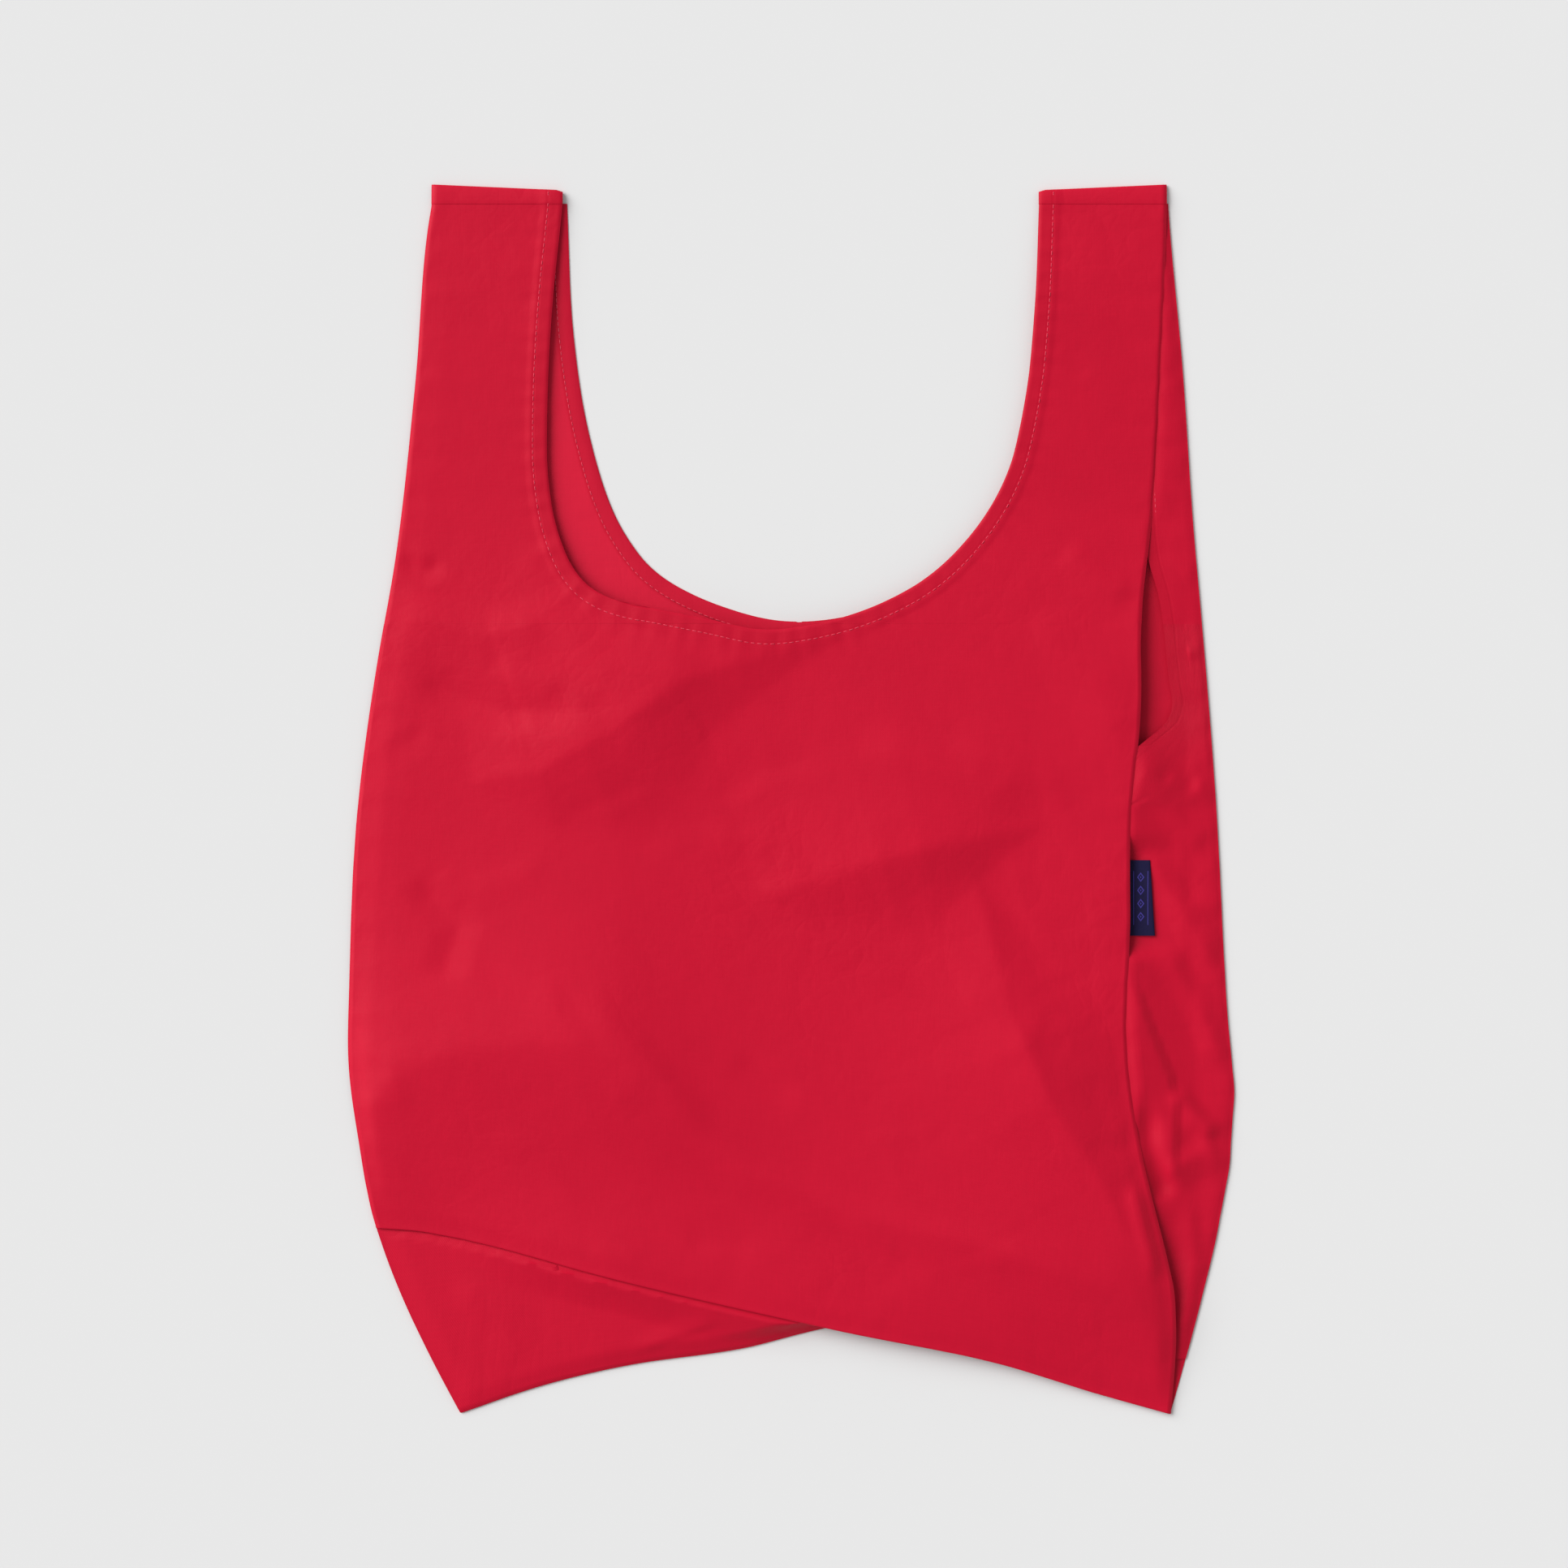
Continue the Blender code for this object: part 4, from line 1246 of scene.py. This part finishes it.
class BAG_OT_front(bpy.types.Operator):
    """Lays the front panel with its creases and its bottom fold, and the front band of each handle"""
    bl_idname = "bag.front"
    bl_label = "Front panel"

    def execute(self, context):
        grid, values = front_panel_grid()
        run = running(steps_of(grid, 0).mean(axis=1))
        weave = stacked(grid[..., 0], (run - run[-1] + HANDLE_START_Y)[:, None])
        panel = lay_cloth("front_panel_cloth", grid, "bottom_bend",
                          ("front_panel", "front_panel_lower", "front_bottom_strip"), values, weave)
        hems = []
        for side, name in SIDES:
            limb = limb_grid(side, FRONT_NECK, front_z, 56, 110)
            handle = name + "_handle"
            band = lay_cloth(handle + "_front_cloth", limb, handle, [handle + "_front"],
                             neck_values(FRONT_NECK, limb, front_painted_glow(limb[..., 0], limb[..., 1])))
            declare_cloth(limb)
        runs = np.linspace(0, FRONT_NECK.length, 2400)
        dip = runs[FRONT_NECK.y(runs) < HANDLE_START_Y]
        spans = {"left": (0.0, dip.min()), "": (dip.min(), dip.max()), "right": (dip.max(), FRONT_NECK.length)}
        for part, (first, last) in spans.items():
            tail = "_" + part if part else ""
            body = part + "_handle" if part else "body"
            hem = add_hem("neck_hem_front" + tail + "_cloth",
                          hem_grid(FRONT_NECK, first, last, (0.8, 4, 9), front_turned_z), body,
                          "neck_hem_front" + tail)
            row = make_stitches("neck_thread_front" + tail, body, FRONT_NECK, first, last, STITCH_INSET, front_z)
            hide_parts("neck_stitching_front" + tail)
            hems += [hem, row]
        declare_cloth(grid)
        return {"FINISHED"}


class BAG_OT_back(bpy.types.Operator):
    """Lays the back panel, the rear band of each handle and their hem"""
    bl_idname = "bag.back"
    bl_label = "Back panel"

    def execute(self, context):
        grid, values = back_panel_grid()
        panel = lay_cloth("back_panel_cloth", grid, "bottom_bend", ("back_panel", "back_panel_lower"), values)
        for side, name in SIDES:
            limb = limb_grid(side, BACK_NECK, back_z, 44, 100)
            handle = name + "_handle"
            band = lay_cloth(handle + "_rear_cloth", limb, handle, [handle + "_rear"],
                             neck_values(BACK_NECK, limb, back_painted_glow(limb[..., 0])))
            declare_cloth(limb)
        middle = BACK_NECK.lowest
        for part, (first, last) in {"left": (0.0, middle), "right": (middle, BACK_NECK.length)}.items():
            nodes = ["neck_hem_rear_" + part] + (["neck_hem_rear"] if part == "left" else [])
            handle = part + "_handle"
            strip = hem_grid(BACK_NECK, first, last, (0.3, 1.2, 4.5, 7.0, 7.6), back_hem_z)
            # Painted light: the rear hem is lightened a little, as if light came through it.
            add_hem("neck_hem_rear_" + part + "_cloth", strip, handle, *nodes, thin=0.45)
            make_stitches("neck_thread_rear_" + part, handle, BACK_NECK, first, last, STITCH_INSET,
                                      back_hem_z)
        declare_cloth(grid)
        return {"FINISHED"}


class BAG_OT_gussets(bpy.types.Operator):
    """Folds each side gusset inward, with its hemmed opening and the band that runs up the handle"""
    bl_idname = "bag.gussets"
    bl_label = "Gussets"

    def execute(self, context):
        for side, name in SIDES:
            grid, values, weave = gusset_grid(side)
            nodes = [kind + name + half for kind in ("gusset_", "gusset_lower_") for _, half in HALVES]
            gusset = lay_cloth(name + "_gusset_cloth", grid, "bottom_bend", nodes, values, weave)
            handle = name + "_handle"
            for front, half in HALVES:
                end = name + half
                band_grid, band_values = gusset_band_grid(side, front)
                band = lay_cloth("gusset_band_" + end + "_cloth", band_grid, handle, ["gusset_band_" + end],
                                 band_values)
                declare_cloth(band_grid)
                route = opening_route(side, front)
                height = partial(gusset_front_z if front else gusset_rear_z, side)
                for place, (low, high) in {"": (-1, HANDLE_START_Y), "_band": (HANDLE_START_Y, 1)}.items():
                    first, last = cut_route(route, low, high)
                    body = handle if place else "body"
                    strip = hem_grid(route, first, last, (0.5, 3, 7.6), partial(below, height))
                    nodes = [] if place else ["gusset_hem_" + end]
                    add_hem("gusset_hem" + place + "_" + end + "_cloth", strip, body, *nodes)
                    make_stitches("gusset_thread" + place + "_" + end, body, route, first, last,
                                              GUSSET_STITCH_INSET, height)
            declare_cloth(grid)
        return {"FINISHED"}


class BAG_OT_seams(bpy.types.Operator):
    """Turns in the side seams, the seam across each handle's top and the bottom seam"""
    bl_idname = "bag.seams"
    bl_label = "Seams"

    def execute(self, context):
        for side, name in SIDES:
            for front, half in HALVES:
                height = front_turned_z if front else rear_turned_z
                spans = {"": (BAG_BOTTOM + 30 * MM, HANDLE_START_Y), "_handle": (HANDLE_START_Y, TOP_SEAM_Y)}
                for place, (low, high) in spans.items():
                    y = np.linspace(low, high, int((high - low) / (4 * MM)))[:, None]
                    x = side_seam(side, front)(y) - side * np.array([1.2, 3.5, 6.5])[None] * MM
                    grid = stacked(x, y, height(x, y))
                    nodes = [kind + name + half for kind in
                             (("side_seam_handle_",) if place else ("side_seam_body_", "side_seam_bottom_"))]
                    add_hem("side_seam" + place + "_" + name + half + "_cloth", grid,
                            name + "_handle" if place else "bottom_bend", *nodes)
            self.top_seam(side, name)
        self.bottom_seam()
        return {"FINISHED"}

    def top_seam(self, side, name):
        """The end of a handle, where front and back cloth meet in one rounded fold."""
        across = spread(40, True, True, 0.01)
        low_y = TOP_SEAM_Y - 0.4 * MM
        handle = name + "_handle"
        edge_x = limb_x(FRONT_NECK, side)(low_y)
        first_x, last_x = (LEFT(low_y), edge_x) if side < 0 else (edge_x, RIGHT(low_y))
        x = first_x + across * (last_x - first_x)
        inner = across if side < 0 else 1 - across
        top = BAG_TOP - 0.3 * MM - 3.0 * MM * inner - 0.8 * MM * fall(1 - inner, 0.05)
        front = front_z(x, low_y)
        fold_share, fold_drop = 0.86, 0.65 * MM
        rows = [(0.0, -0.08 * MM), (0.042, 0.0), (0.25, -0.04 * MM), (0.5, -0.15 * MM), (0.72, -0.35 * MM),
                (fold_share, -fold_drop)]
        grid = [stacked(x, low_y + share * (top - low_y), front + drop) for share, drop in rows]
        for turn in (0.15, 0.4, 0.65, 0.88):
            swing = turn * math.pi
            middle, half = (front - fold_drop + BACK_Z) / 2, (front - fold_drop - BACK_Z) / 2
            out = fold_share + 0.14 * math.sin(swing)
            grid.append(stacked(x, low_y + out * (top - low_y), middle + half * math.cos(swing)))
        grid += [stacked(x, low_y + share * (top - low_y), BACK_Z) for share in (0.8, 0.4, 0.0)]
        grid = np.stack(grid)[::-1]
        values = cloth_values(np.broadcast_to((1 - inner) * abs(last_x - first_x), grid.shape[:2]))
        run = running(steps_of(grid, 0).mean(axis=1))
        weave = stacked(grid[..., 0], (low_y + run[-1] - run)[:, None])
        piece = lay_cloth(handle + "_end_cloth", grid, handle, [handle + "_top_seam"], values, weave)
        route = Route([(edge_x, low_y), (edge_x, low_y + 7 * MM)][::side])
        row = make_stitches(handle + "_end_thread", handle, route, 0, route.length, STITCH_INSET,
                            lambda x, y: front_z(x, np.minimum(y, low_y)) - 0.1 * MM)
        declare_cloth(grid, creased=False)

    def bottom_seam(self):
        """The bottom seam's allowance, turned up inside."""
        x = np.linspace(SEAM_LOW.x + 3 * MM, SEAM_HIGH.x - 3 * MM, 110)[None]
        inward = np.array([1.0, 3.0, 6.0])[:, None] * MM
        grid = stacked(x, SEAM(x) + inward, BACK_Z + 0.38 * MM + 0 * x * inward)
        add_hem("bottom_seam_cloth", grid, "bottom_bend", "bottom_seam")


class BAG_OT_label(bpy.types.Operator):
    """Folds the woven label and sews it into the right seam"""
    bl_idname = "bag.label"
    bl_label = "Label"

    def execute(self, context):
        low, high, leaf = LABEL_LOW, LABEL_HIGH, 12
        near = low.x - 1.0 * MM
        y = np.linspace(low.y, high.y, 40)[:, None]
        share = (y - low.y) / (high.y - low.y)
        far = high.x - 0.6 * MM - 2.6 * MM * share
        out = np.concatenate([np.linspace(0, 1, leaf), [1.0, 1.0], np.linspace(1, 0, leaf)])[None]
        side = np.concatenate([np.zeros(leaf), [0.35, 0.65], np.ones(leaf)])[None]
        bulge = np.concatenate([np.zeros(leaf), [0.25, 0.25], np.zeros(leaf)])[None] * MM
        x = near + (far - near) * out + bulge
        lie = np.minimum(gusset_rear_z(1, x, y) + 0.6 * MM, 3.6 * MM) + 0.4 * MM * out
        gap = 0.34 * MM + 0.25 * MM * out
        grid = stacked(x, y, lie + side * gap)
        weave = stacked(grid[..., 0], y)
        material = bpy.data.materials.get("bag_label") or label_material(context.scene.bag_label)
        label = make_cloth("woven_label", grid, material, LABEL_CLOTH, even_values(grid), weave)
        follow(label, "label")
        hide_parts("label")
        return {"FINISHED"}


class BAG_OT_stage(bpy.types.Operator):
    """Sets the pale floor, the soft studio light and the camera overhead"""
    bl_idname = "bag.stage"
    bl_label = "Stage"

    def execute(self, context):
        settings = context.scene.bag_stage
        floor_size, floor_gap = 14, 0.05 * MM
        deselect()
        bpy.ops.mesh.primitive_plane_add(size=floor_size, location=(0, 0, CAD_BOX[0].z - floor_gap))
        floor = context.object
        floor.name = "floor"
        floor.data.materials.append(floor_material(settings))
        world = context.scene.world or bpy.data.worlds.new("studio")
        context.scene.world = world
        world.use_nodes = True
        sky = world.node_tree.nodes["Background"]
        sky.inputs["Color"].default_value = (1, 1, 1, 1)
        sky.inputs["Strength"].default_value = settings.sky
        light = bpy.data.lights.new("key", "SUN")
        light.energy, light.angle = settings.key, settings.key_spread
        key = bpy.data.objects.new("key", light)
        direction = Vector((math.cos(settings.key_turn) * math.cos(settings.key_rise),
                            math.sin(settings.key_turn) * math.cos(settings.key_rise), math.sin(settings.key_rise)))
        key.rotation_euler = direction.to_track_quat("Z", "Y").to_euler()
        key.location = direction * 3
        context.scene.collection.objects.link(key)
        lens = bpy.data.cameras.new("overhead")
        lens.sensor_width = 36.0
        lens.lens = lens.sensor_width * settings.camera_height / settings.view_width
        camera = bpy.data.objects.new("overhead", lens)
        camera.location = (*CAMERA_OVER, settings.camera_height)
        context.scene.collection.objects.link(camera)
        context.scene.camera = camera
        context.scene.view_settings.view_transform = "Standard"
        return {"FINISHED"}


OPERATORS = (BAG_OT_back, BAG_OT_gussets, BAG_OT_front, BAG_OT_seams, BAG_OT_label, BAG_OT_stage)


class BAG_PT_panel(bpy.types.Panel):
    """The bag's sizes and colours, and a button for each part of it"""
    bl_label = "Foldable Bag"
    bl_idname = "BAG_PT_panel"
    bl_space_type = "VIEW_3D"
    bl_region_type = "UI"
    bl_category = "Bag"

    def draw(self, context):
        for name, group in SETTINGS.items():
            box = self.layout.box()
            for key in group.__annotations__:
                box.prop(getattr(context.scene, name), key)
        for operator in OPERATORS:
            self.layout.operator(operator.bl_idname)


def register():
    for name, group in SETTINGS.items():
        bpy.utils.register_class(group)
        setattr(bpy.types.Scene, name, PointerProperty(type=group))
    for operator in OPERATORS:
        bpy.utils.register_class(operator)
    bpy.utils.register_class(BAG_PT_panel)


def unregister():
    bpy.utils.unregister_class(BAG_PT_panel)
    for operator in reversed(OPERATORS):
        bpy.utils.unregister_class(operator)
    for name, group in SETTINGS.items():
        delattr(bpy.types.Scene, name)
        bpy.utils.unregister_class(group)


def main():
    register()
    for operator in OPERATORS:
        group, name = operator.bl_idname.split(".")
        getattr(getattr(bpy.ops, group), name)()


if __name__ == "__main__":
    main()
